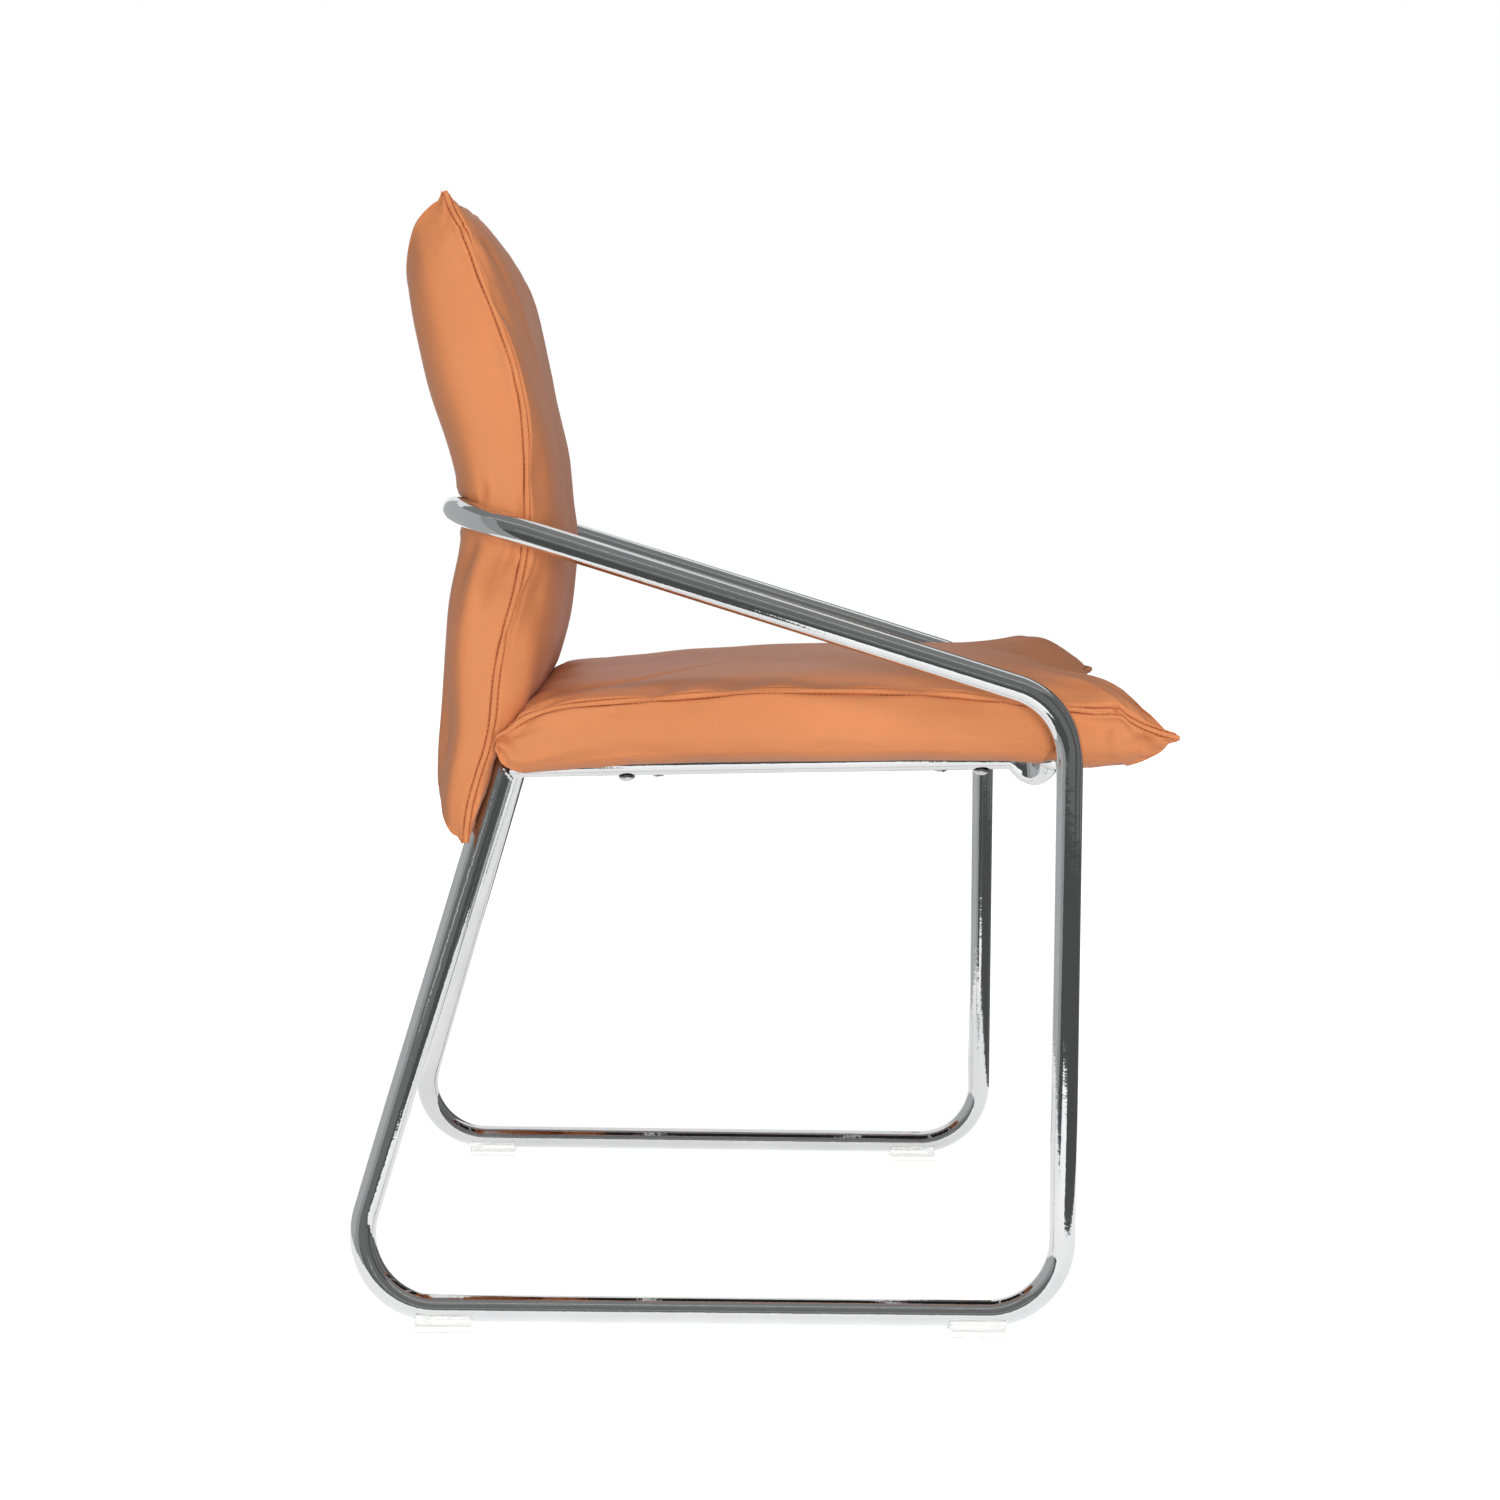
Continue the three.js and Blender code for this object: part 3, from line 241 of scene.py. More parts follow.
def flat_paint(name, brightness):
    material, tree, shader = new_material(name)
    set_inputs(shader, {"Base Color": (0, 0, 0, 1), "Roughness": 1.0, "Emission Color": WHITE,
                        "Emission Strength": brightness})
    shader.inputs["Specular IOR Level"].default_value = 0.0
    return material


deselect()
bpy.ops.mesh.primitive_cylinder_add(vertices=360, radius=FLAT_RADIUS, depth=FLAT_HEIGHT,
                                    end_fill_type="NOTHING", location=(0, 0, FLAT_HEIGHT / 2))
flats = bpy.context.object
flats.name = "studio_flats"
for index, (_, _, brightness) in enumerate(FLATS + [DARK_FEET]):
    flats.data.materials.append(flat_paint(f"flat_{index}", brightness))
bpy.context.tool_settings.mesh_select_mode = (False, False, True)
bpy.ops.object.mode_set(mode="EDIT")
bpy.ops.mesh.select_all(action="DESELECT")
bpy.ops.object.mode_set(mode="OBJECT")
for face in flats.data.polygons:
    turn = turn_of(face.center)
    found = [i for i, (low, high, _) in enumerate(FLATS) if low < turn < high]
    face.material_index = found[0] if found else 0
    face.select = not found
bpy.ops.object.mode_set(mode="EDIT")
bpy.ops.mesh.delete(type="FACE")
bpy.ops.mesh.select_all(action="DESELECT")
bpy.context.tool_settings.mesh_select_mode = (False, True, False)
bpy.ops.object.mode_set(mode="OBJECT")
for edge in flats.data.edges:
    edge.select = all(flats.data.vertices[i].co.z < -FLAT_HEIGHT / 2 + 0.001 for i in edge.vertices)
bpy.ops.object.mode_set(mode="EDIT")
bpy.ops.mesh.extrude_region_move(TRANSFORM_OT_translate={"value": (0, 0, FLAT_FOOT_RISE)})
bpy.ops.transform.resize(value=(FLAT_FOOT_SHARE, FLAT_FOOT_SHARE, 1), center_override=(0, 0, 0))
bpy.ops.object.mode_set(mode="OBJECT")
bpy.context.tool_settings.mesh_select_mode = (True, False, False)
for vertex in flats.data.vertices:
    is_inner = vertex.co.xy.length < FLAT_RADIUS / 2
    if is_inner and FOOT_CUT[0] < turn_of(vertex.co) < FOOT_CUT[1]:
        vertex.co.xy *= FOOT_CUT[2] / FLAT_FOOT_SHARE
for face in flats.data.polygons:
    is_foot = abs(face.normal.z) > 0.9
    if is_foot and DARK_FEET[0] < turn_of(face.center) < DARK_FEET[1]:
        face.material_index = len(FLATS)
only_reflected(flats)

deselect()
bpy.ops.mesh.primitive_plane_add(size=1, location=((CEILING_FROM + CEILING_TO) / 2, 0, FLAT_HEIGHT))
ceiling = bpy.context.object
bpy.ops.object.mode_set(mode="EDIT")
bpy.ops.transform.resize(value=(CEILING_TO - CEILING_FROM, 2 * FLAT_RADIUS, 1))
bpy.ops.object.mode_set(mode="OBJECT")
ceiling.name = "studio_ceiling"
ceiling.data.materials.append(flat_paint("ceiling_paint", CEILING_GLOW))
only_reflected(ceiling)

# Two narrow strips of light: place of the middle and size, in metres
STRIPS = {"high": ((-2.1, 0, 3.37), (0.16, 6.0, 0.02)), "low": ((-3.6, 0, 0.84), (0.02, 5.0, 0.07))}
STRIP_GLOW = 0.95
strip_paint = flat_paint("strip_paint", STRIP_GLOW)
for name, (place, size) in STRIPS.items():
    deselect()
    bpy.ops.mesh.primitive_cube_add(size=1, location=place, scale=size)
    strip = bpy.context.object
    strip.name = f"studio_strip_{name}"
    strip.data.materials.append(strip_paint)
    only_reflected(strip)
print("flats:", len(flats.data.polygons), "faces")

# %% [markdown]
# ## Finishes
# Each finish is a node tree that reads the object's own coordinates, so it needs no picture and has
# no seams. Small things that many finishes share, such as fine grain and the haze of handling, are
# made once as node groups. A group only gives out masks, and each material uses them in its own way.

# %% A group for haze and a group for grain


def new_group(name, inputs, outputs):
    group = bpy.data.node_groups.new(name, "ShaderNodeTree")
    for label, value in inputs.items():
        socket = group.interface.new_socket(label, in_out="INPUT", socket_type="NodeSocketFloat")
        socket.default_value = value
    for label in outputs:
        group.interface.new_socket(label, in_out="OUTPUT", socket_type="NodeSocketFloat")
    return group, add_node(group, "NodeGroupInput"), add_node(group, "NodeGroupOutput")


def haze_group():
    """A slow, soft mask between 0 and 1, for roughness and for shifts of colour."""
    group, given, made = new_group("soft_haze", {"Scale": 6.0, "Contrast": 1.0}, ["Mask"])
    noise = add_node(group, "ShaderNodeTexNoise")
    set_inputs(noise, {"Detail": 5.0, "Roughness": 0.55, "Distortion": 0.3})
    group.links.new(object_place(group), noise.inputs["Vector"])
    group.links.new(given.outputs["Scale"], noise.inputs["Scale"])
    spread = add_node(group, "ShaderNodeMath", operation="MULTIPLY_ADD", use_clamp=True)
    centred = add_node(group, "ShaderNodeMath", operation="SUBTRACT")
    centred.inputs[1].default_value = 0.5
    group.links.new(noise.outputs["Fac"], centred.inputs[0])
    group.links.new(centred.outputs[0], spread.inputs[0])
    group.links.new(given.outputs["Contrast"], spread.inputs[1])
    spread.inputs[2].default_value = 0.5
    group.links.new(spread.outputs[0], made.inputs["Mask"])
    return group


def grain_group():
    """The pebbles of a fine leather: a height, and a mask of the creases between them."""
    group, given, made = new_group("leather_grain", {"Scale": 900.0}, ["Height", "Crease"])
    place = object_place(group)
    bend = add_node(group, "ShaderNodeTexNoise")
    set_inputs(bend, {"Scale": 160.0, "Detail": 2.0})
    group.links.new(place, bend.inputs["Vector"])
    shift = add_node(group, "ShaderNodeVectorMath", operation="MULTIPLY_ADD")
    group.links.new(bend.outputs["Color"], shift.inputs[0])
    shift.inputs[1].default_value = (0.0012, 0.0012, 0.0012)
    group.links.new(place, shift.inputs[2])
    cells = add_node(group, "ShaderNodeTexVoronoi", feature="SMOOTH_F1")
    cells.inputs["Smoothness"].default_value = 0.6
    group.links.new(shift.outputs[0], cells.inputs["Vector"])
    group.links.new(given.outputs["Scale"], cells.inputs["Scale"])
    height = add_node(group, "ShaderNodeMath", operation="SUBTRACT", use_clamp=True)
    height.inputs[0].default_value = 1.0
    group.links.new(cells.outputs["Distance"], height.inputs[1])
    group.links.new(height.outputs[0], made.inputs["Height"])
    crease = add_node(group, "ShaderNodeMapRange", clamp=True)
    set_inputs(crease, {"From Min": 0.35, "From Max": 0.75})
    group.links.new(cells.outputs["Distance"], crease.inputs["Value"])
    group.links.new(crease.outputs["Result"], made.inputs["Crease"])
    return group


HAZE = haze_group()
GRAIN = grain_group()


def place_group(tree, group, **values):
    node = add_node(tree, "ShaderNodeGroup", node_tree=group)
    set_inputs(node, values)
    return node


def mix_colours(tree, mask, low, high):
    mix = add_node(tree, "ShaderNodeMix", data_type="RGBA")
    mix.inputs["A"].default_value = (*low, 1.0)
    mix.inputs["B"].default_value = (*high, 1.0)
    tree.links.new(mask, mix.inputs["Factor"])
    return mix.outputs["Result"]


def mix_numbers(tree, mask, low, high):
    spread = add_node(tree, "ShaderNodeMapRange", clamp=True)
    set_inputs(spread, {"To Min": low, "To Max": high})
    tree.links.new(mask, spread.inputs["Value"])
    return spread.outputs["Result"]


def add_bump(tree, shader, height, strength, distance):
    bump = add_node(tree, "ShaderNodeBump")
    set_inputs(bump, {"Strength": strength, "Distance": distance})
    tree.links.new(height, bump.inputs["Height"])
    tree.links.new(bump.outputs["Normal"], shader.inputs["Normal"])


print("groups:", HAZE.name, GRAIN.name)

# %% [markdown]
# ## Orange leather
# The cushions are covered in a soft, finely grained leather with a satin face. Its colour is even,
# a little deeper in the creases of the grain and where hands have darkened it. Shade is painted
# into the colour too: it is much darker in the grooves beside the seams and in the valleys of the
# folds.

# %% Orange leather
LEATHER_LIT = (0.74, 0.282, 0.118)
LEATHER_DEEP = (0.63, 0.222, 0.086)


def leather_material():
    material, tree, shader = new_material("orange_leather")
    haze = place_group(tree, HAZE, Scale=7.0, Contrast=1.3)
    grain = place_group(tree, GRAIN, Scale=1100.0)
    colour = mix_colours(tree, haze.outputs["Mask"], LEATHER_DEEP, LEATHER_LIT)
    darker = add_node(tree, "ShaderNodeMix", data_type="RGBA", blend_type="MULTIPLY")
    darker.inputs["B"].default_value = (0.95, 0.93, 0.91, 1.0)
    tree.links.new(grain.outputs["Crease"], darker.inputs["Factor"])
    tree.links.new(colour, darker.inputs["A"])
    # Painted shade: the colour is multiplied darker where the mask marks the grooves beside the seams
    # and the valleys of the folds
    painted_shade_mask = add_node(tree, "ShaderNodeAttribute", attribute_name="crease")
    painted_shade = add_node(tree, "ShaderNodeMix", data_type="RGBA", blend_type="MULTIPLY")
    painted_shade.inputs["B"].default_value = (0.5, 0.36, 0.3, 1.0)
    tree.links.new(painted_shade_mask.outputs["Fac"], painted_shade.inputs["Factor"])
    tree.links.new(darker.outputs["Result"], painted_shade.inputs["A"])
    tree.links.new(painted_shade.outputs["Result"], shader.inputs["Base Color"])
    tree.links.new(mix_numbers(tree, haze.outputs["Mask"], 0.58, 0.47), shader.inputs["Roughness"])
    set_inputs(shader, {"Specular IOR Level": 0.26, "Sheen Weight": 0.06, "Sheen Roughness": 0.45})
    add_bump(tree, shader, grain.outputs["Height"], 0.14, 0.0004)
    return material


ORANGE_LEATHER = leather_material()

# %% [markdown]
# ## Chrome
# Polished chrome is a mirror with a faint blue cast. What makes it look real is that it isn't
# perfect: the polish is a little hazy here and there, and the steel under it is slightly uneven.

# %% Chrome


def chrome_material():
    material, tree, shader = new_material("polished_chrome")
    haze = place_group(tree, HAZE, Scale=14.0, Contrast=1.6)
    colour = mix_colours(tree, haze.outputs["Mask"], (0.6, 0.607, 0.615), (0.7, 0.705, 0.71))
    tree.links.new(colour, shader.inputs["Base Color"])
    tree.links.new(mix_numbers(tree, haze.outputs["Mask"], 0.1, 0.035), shader.inputs["Roughness"])
    shader.inputs["Metallic"].default_value = 1.0
    ripple = add_node(tree, "ShaderNodeTexNoise")
    set_inputs(ripple, {"Scale": 70.0, "Detail": 4.0, "Roughness": 0.6})
    tree.links.new(object_place(tree), ripple.inputs["Vector"])
    add_bump(tree, shader, ripple.outputs["Fac"], 0.4, 0.0005)
    return material


CHROME = chrome_material()
print("chrome ready")

# %% [markdown]
# ## The small finishes
# Screws and nuts are zinc plated, the glides are a milky clear plastic, the plugs are black plastic,
# the boards are plywood, the cloth under the seat is a black non-woven, and the thread is a shade
# deeper than the leather.

# %% The small finishes


def simple_material(name, low, high, roughness, haze_scale, bump=None, **extra):
    material, tree, shader = new_material(name)
    haze = place_group(tree, HAZE, Scale=haze_scale, Contrast=1.8)
    tree.links.new(mix_colours(tree, haze.outputs["Mask"], low, high), shader.inputs["Base Color"])
    tree.links.new(mix_numbers(tree, haze.outputs["Mask"], *roughness), shader.inputs["Roughness"])
    set_inputs(shader, {key.replace("_", " "): value for key, value in extra.items()})
    if bump:
        scale, distance = bump
        noise = add_node(tree, "ShaderNodeTexNoise")
        set_inputs(noise, {"Scale": scale, "Detail": 4.0})
        tree.links.new(object_place(tree), noise.inputs["Vector"])
        add_bump(tree, shader, noise.outputs["Fac"], 0.5, distance)
    return material


def plywood_material():
    material, tree, shader = new_material("plywood")
    rings = add_node(tree, "ShaderNodeTexWave", bands_direction="X")
    set_inputs(rings, {"Scale": 9.0, "Distortion": 6.0, "Detail": 3.0})
    tree.links.new(object_place(tree), rings.inputs["Vector"])
    colour = mix_colours(tree, rings.outputs["Fac"], (0.42, 0.24, 0.1), (0.6, 0.38, 0.18))
    tree.links.new(colour, shader.inputs["Base Color"])
    tree.links.new(mix_numbers(tree, rings.outputs["Fac"], 0.8, 0.65), shader.inputs["Roughness"])
    return material


ZINC = simple_material("zinc_plate", (0.5, 0.5, 0.5), (0.66, 0.66, 0.65), (0.36, 0.24), 90.0,
                       bump=(300.0, 0.0001), Metallic=1.0)
CLEAR_PLASTIC = simple_material("milky_plastic", (0.93, 0.94, 0.93), (0.98, 0.98, 0.97), (0.3, 0.18),
                                60.0, Transmission_Weight=0.8, IOR=1.46)
BLACK_PLASTIC = simple_material("black_plastic", (0.014, 0.014, 0.015), (0.03, 0.03, 0.031),
                                (0.5, 0.4), 80.0, bump=(900.0, 0.0001))
BLACK_CLOTH = simple_material("black_cloth", (0.008, 0.008, 0.009), (0.022, 0.022, 0.024),
                              (0.95, 0.85), 500.0, bump=(1400.0, 0.0004))
FOAM = simple_material("foam", (0.7, 0.58, 0.36), (0.82, 0.72, 0.5), (0.95, 0.9), 300.0,
                       bump=(900.0, 0.0006))
THREAD = simple_material("orange_thread", (0.66, 0.2, 0.075), (0.8, 0.28, 0.12), (0.6, 0.5), 400.0,
                         bump=(2500.0, 0.0002))
PLYWOOD = plywood_material()
print("finishes:", len(bpy.data.materials))

# %% [markdown]
# ## The bent tube
# The real tube is drawn straight and then bent on one die. The same moves work here: a circle is
# added at one end, extruded along each straight and spun round each bend. That keeps every ring
# square to the tube. The wall comes last, with a Solidify modifier.

# %% Sizes that the frame's tubes share with the CAD
ROW_SHIFT = 0.0441665
TUBE_RADIUS = 0.010
TUBE_WALL = 0.002
TUBE_BEND = 0.056
TUBE_SIDES = 48
BEND_STEP = math.radians(4.0)
HALF_FRAME = 0.26
HALF_RUNNER = 0.273
RUNNER_HEIGHT = 0.016
FRONT_TOP_Y = -0.265
FRONT_TOP_Z = 0.4794
RAIL_INSET = 0.072
RAIL_TOP = 0.4355
SEAT_PITCH = math.radians(2)
cos_p, sin_p = math.cos(SEAT_PITCH), math.sin(SEAT_PITCH)
POST_LEAN = math.radians(15.63)
POST_HEIGHT = 0.454
RAIL_MEET = ((RAIL_TOP - TUBE_RADIUS - RUNNER_HEIGHT - HALF_RUNNER * math.tan(SEAT_PITCH))
             / (1 - math.tan(POST_LEAN) * math.tan(SEAT_PITCH)))
RAIL_REAR_Y = HALF_RUNNER - RAIL_MEET * math.tan(POST_LEAN)
RAIL_SPACING = HALF_FRAME - RAIL_INSET
BACK_BOTTOM, BACK_HEIGHT = 0.366, 0.48
# The loop: how far behind the posts' tops, at which share of the back's height, and the gap
# between its two halves in the middle
LOOP_BEHIND, LOOP_SHARE, HALF_LOOP_GAP = 0.049, 0.5165, 0.00015
LOOP_Y = HALF_RUNNER - POST_HEIGHT * math.tan(POST_LEAN) + LOOP_BEHIND
LOOP_Z = BACK_BOTTOM + LOOP_SHARE * BACK_HEIGHT


def at(x, y, z):
    """A place in the chair's own frame, whose origin is at the middle of the runners."""
    return Vector((x, y + ROW_SHIFT, z))


def post_point(side, height):
    return at(side * (HALF_FRAME - RAIL_INSET * height / RAIL_MEET),
              HALF_RUNNER - height * math.tan(POST_LEAN), RUNNER_HEIGHT + height)


def rail_point(side, y):
    return at(side * RAIL_SPACING, y, RAIL_TOP - TUBE_RADIUS - y * math.tan(SEAT_PITCH))


def tube_corners(side):
    x = side * HALF_FRAME
    return [post_point(side, POST_HEIGHT), at(x, HALF_RUNNER, RUNNER_HEIGHT),
            at(x, -HALF_RUNNER, RUNNER_HEIGHT), at(x, FRONT_TOP_Y, FRONT_TOP_Z),
            at(x, LOOP_Y, LOOP_Z), at(side * HALF_LOOP_GAP, LOOP_Y, LOOP_Z)]


print("loop at height", round(LOOP_Z, 4))

# %% Helpers that bend a tube


def bend_of(before, corner, after, radius):
    """Start, centre, axis and angle of the round bend at a corner."""
    into = (corner - before).normalized()
    out = (after - corner).normalized()
    turn = into.angle(out)
    axis = into.cross(out).normalized()
    start = corner - into * radius * math.tan(turn / 2)
    centre = start + axis.cross(into) * radius
    return start, centre, axis, turn


def check_outward(piece):
    """Turns a tube's faces outward if its first face, beside the first ring, looks inward."""
    mesh = piece.data
    face = mesh.polygons[0]
    ring = [mesh.vertices[i].co for i in range(TUBE_SIDES)]
    middle = sum(ring, Vector()) / len(ring)
    if face.normal.dot(face.center - middle) < 0:
        mesh.flip_normals()


def bend_tube(name, corners, bend_radius):
    """A tube through the corners: a circle, extruded on the straights and spun round the bends."""
    deselect()
    heading = (corners[1] - corners[0]).normalized()
    turn = heading.to_track_quat("Z", "Y").to_euler()
    bpy.ops.mesh.primitive_circle_add(vertices=TUBE_SIDES, radius=TUBE_RADIUS, location=corners[0],
                                      rotation=turn)
    tube = bpy.context.object
    tube.name = name
    bpy.ops.object.transform_apply(location=True, rotation=True, scale=True)
    edit_all()
    place = corners[0]
    for i in range(1, len(corners) - 1):
        start, centre, axis, angle = bend_of(corners[i - 1], corners[i], corners[i + 1], bend_radius)
        bpy.ops.mesh.extrude_region_move(TRANSFORM_OT_translate={"value": start - place})
        # Spin turns the other way round its axis than a rotation does
        bpy.ops.mesh.spin(steps=max(2, math.ceil(angle / BEND_STEP)), angle=-angle, center=centre,
                          axis=axis)
        place = centre + Matrix.Rotation(angle, 3, axis) @ (start - centre)
    bpy.ops.mesh.extrude_region_move(TRANSFORM_OT_translate={"value": corners[-1] - place})
    bpy.ops.mesh.select_all(action="SELECT")
    bpy.ops.mesh.remove_doubles(threshold=1e-6)
    bpy.ops.mesh.normals_make_consistent(inside=False)
    to_object_mode()
    check_outward(tube)
    return tube


def add_wall(piece, thickness):
    solidify = piece.modifiers.new("wall", "SOLIDIFY")
    solidify.thickness = thickness
    solidify.offset = -1
    bpy.context.view_layer.objects.active = piece
    bpy.ops.object.modifier_apply(modifier="wall")


def finish_piece(piece, material, slot, *nodes, smooth=40):
    """Shades a piece, gives it its finish, hangs it under the root and hides the CAD nodes it stands
    for.
    """
    pick(piece)
    bpy.ops.object.shade_smooth_by_angle(angle=math.radians(smooth))
    piece.data.materials.clear()
    piece.data.materials.append(material)
    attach(piece, "root")
    if nodes:
        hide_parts(*nodes)


def finish_tube(tube, node):
    add_wall(tube, TUBE_WALL)
    finish_piece(tube, CHROME, "chrome_tube", node)
    print(tube.name, len(tube.data.polygons), "faces")


# %% Both halves of the main tube
SIDES = {"left": 1, "right": -1}
for name, side in SIDES.items():
    finish_tube(bend_tube(f"bent_tube_{name}", tube_corners(side), TUBE_BEND), f"frame_tube_{name}")

# %% [markdown]
# ## The seat rails
# Each rail butts against the rear leg and runs forward under the seat. At the front it turns
# sharply outward to the front leg. That bend is too tight for the tube, so the real one is crushed:
# it is narrower across and hangs lower there. A modifier can't do that on one bend alone, so the
# points of the bend are moved one by one, most in its middle.

# %% The seat rails
RAIL_BEND = 0.030
RAIL_BEND_BEHIND_LEG, RAIL_END_RISE = 0.010, 0.003
FRONT_LEG_LEAN = 0.008
# How deep an end sinks into the tube that it meets, as a share of the tube's radius
FRONT_SINK, END_SINK = 0.8, 0.7
CRUSH_DROP, CRUSH_NARROWING, CRUSH_DENT = 0.0125, 0.3, 0.0015


def rail_corners(side):
    """The rail's rear end, the corner of its bend and its end on the front leg."""
    bend = rail_point(side, FRONT_TOP_Y + RAIL_BEND_BEHIND_LEG)
    slope = FRONT_LEG_LEAN / (FRONT_TOP_Z - RUNNER_HEIGHT)
    weld_z = bend.z + RAIL_END_RISE
    weld_y = FRONT_TOP_Y - (FRONT_TOP_Z - weld_z) * slope
    inner = HALF_FRAME - FRONT_SINK * TUBE_RADIUS
    weld = at(side * inner, weld_y, weld_z)
    rear = rail_point(side, RAIL_REAR_Y - END_SINK * TUBE_RADIUS)
    return [rear, bend, weld]


def crush_bend(tube, corners):
    """Narrows the rings of the bend and lets them hang lower, most in its middle."""
    start, centre, axis, angle = bend_of(*corners, RAIL_BEND)
    for vertex in tube.data.vertices:
        arm = vertex.co - centre
        flat = arm - axis * arm.dot(axis)
        place = (start - centre).angle(flat) / angle
        before = (vertex.co - start).dot((corners[1] - corners[0]).normalized()) < 0
        if before or not 0 < place < 1:
            continue
        amount = math.sin(math.pi * place) ** 0.8
        middle = centre + flat.normalized() * RAIL_BEND
        out = vertex.co - middle
        down = (TUBE_RADIUS - out.z) / (2 * TUBE_RADIUS)
        inside = max(0.0, -out.dot(flat.normalized())) / TUBE_RADIUS
        out.x *= 1 - CRUSH_NARROWING * amount
        out.y *= 1 - CRUSH_NARROWING * amount
        out.z -= amount * down * CRUSH_DROP
        dent = amount ** 3 * inside ** 2 * CRUSH_DENT
        vertex.co = middle + out + flat.normalized() * dent


for name, side in SIDES.items():
    corners = rail_corners(side)
    rail = bend_tube(f"seat_rail_{name}_round", corners, RAIL_BEND)
    crush_bend(rail, corners)
    finish_tube(rail, f"seat_rail_{name}")

# %% The cross tubes
CROSS_PLACES = {"front": FRONT_TOP_Y + 0.087, "rear": RAIL_REAR_Y - 0.120}
for name, y in CROSS_PLACES.items():
    ends = [rail_point(-1, y), rail_point(1, y)]
    inward = (ends[1] - ends[0]).normalized() * END_SINK * TUBE_RADIUS
    ends = [ends[0] + inward, ends[1] - inward]
    finish_tube(bend_tube(f"{name}_cross_bar", ends, RAIL_BEND), f"{name}_cross_tube")

# %% [markdown]
# ## Welds
# Where one tube ends on another, the maker lays a bead of weld and grinds it a little before the
# chrome goes on. A torus has the right section, but the joint of two tubes is a saddle. So each
# point of the torus slides along its own tube until it touches the other one.

# %% The weld beads
WELD_RADIUS, WELD_LIFT = 0.0017, 0.0002
WELD_RINGS, WELD_SIDES = 64, 10
# The ripples of the bead: how many go round it, and their share of its radius
WELD_RIPPLES = ((14, 0.16), (23, 0.1))
# The crushed rail end is narrower than the tube
CRUSHED_REACH = 0.0076


def weld_bead(name, start, toward, other_start, other_end, reach=TUBE_RADIUS):
    """A bead round the tube from start, where it meets the tube between the other two points."""
    axis = (toward - start).normalized()
    deselect()
    bpy.ops.mesh.primitive_torus_add(
        major_segments=WELD_RINGS, minor_segments=WELD_SIDES, major_radius=reach + WELD_LIFT,
        minor_radius=WELD_RADIUS, location=start, rotation=axis.to_track_quat("Z", "Y").to_euler())
    bead = bpy.context.object
    bead.name = name
    bpy.ops.object.transform_apply(location=True, rotation=True, scale=True)
    other = (other_end - other_start).normalized()
    phases = np.random.default_rng(len(name)).uniform(0, 6.28, len(WELD_RIPPLES))
    first, second = axis.orthogonal(), axis.cross(axis.orthogonal())
    for vertex in bead.data.vertices:
        arm = vertex.co - start
        along = axis * arm.dot(axis)
        out = (arm - along).normalized()
        turn = math.atan2(out.dot(first), out.dot(second))
        on_tube = start + out * reach
        # The distance along the axis at which this line meets the other tube
        gap = on_tube - other_start
        gap -= other * gap.dot(other)
        step = axis - other * axis.dot(other)
        a, b, c = step.dot(step), 2 * gap.dot(step), gap.dot(gap) - TUBE_RADIUS ** 2
        inside = b * b - 4 * a * c
        slide = (-b - math.sqrt(inside)) / (2 * a) if inside > 0 else -b / (2 * a)
        wave = 1 + sum(height * math.sin(count * turn + phase)
                       for (count, height), phase in zip(WELD_RIPPLES, phases))
        section = arm - out * reach
        vertex.co = on_tube + axis * slide + section * wave
    finish_piece(bead, CHROME, "chrome_tube", smooth=60)


for name, side in SIDES.items():
    rear, bend, weld = rail_corners(side)
    weld_bead(f"rail_rear_weld_{name}", rail_point(side, 0.1), rear, post_point(side, 0.2),
              post_point(side, POST_HEIGHT))
    leg = tube_corners(side)
    weld_bead(f"rail_front_weld_{name}", bend.lerp(weld, 0.4), weld, leg[2], leg[3], CRUSHED_REACH)
    for place, y in CROSS_PLACES.items():
        end = rail_point(side, y)
        weld_bead(f"{place}_cross_weld_{name}", end.lerp(rail_point(-side, y), 0.4), end,
                  rail_point(side, y - 0.05), rail_point(side, y + 0.05))

# %% [markdown]
# ## Button head screws
# Four screws hold the seat to the rails and two hold the back to the loop. Their heads show. Each is
# a low dome with a hexagon socket: half a sphere, a socket cut with a boolean, and a shank that is
# inset and extruded from the flat side. One is modelled, and the others are copies of its mesh.

# %% The button head screw
HEAD_RADIUS, HEAD_HEIGHT = 0.00625, 0.0042
SOCKET_RADIUS, SOCKET_DEPTH = 0.0024, 0.0024
SHANK_RADIUS, SHANK_LENGTH = 0.003, 0.022
SCREW_GAP = 0.0003
SEAT_SCREWS = {"front": FRONT_TOP_Y + 0.056, "rear": RAIL_REAR_Y - 0.096}
BACK_SCREW_X = 0.12


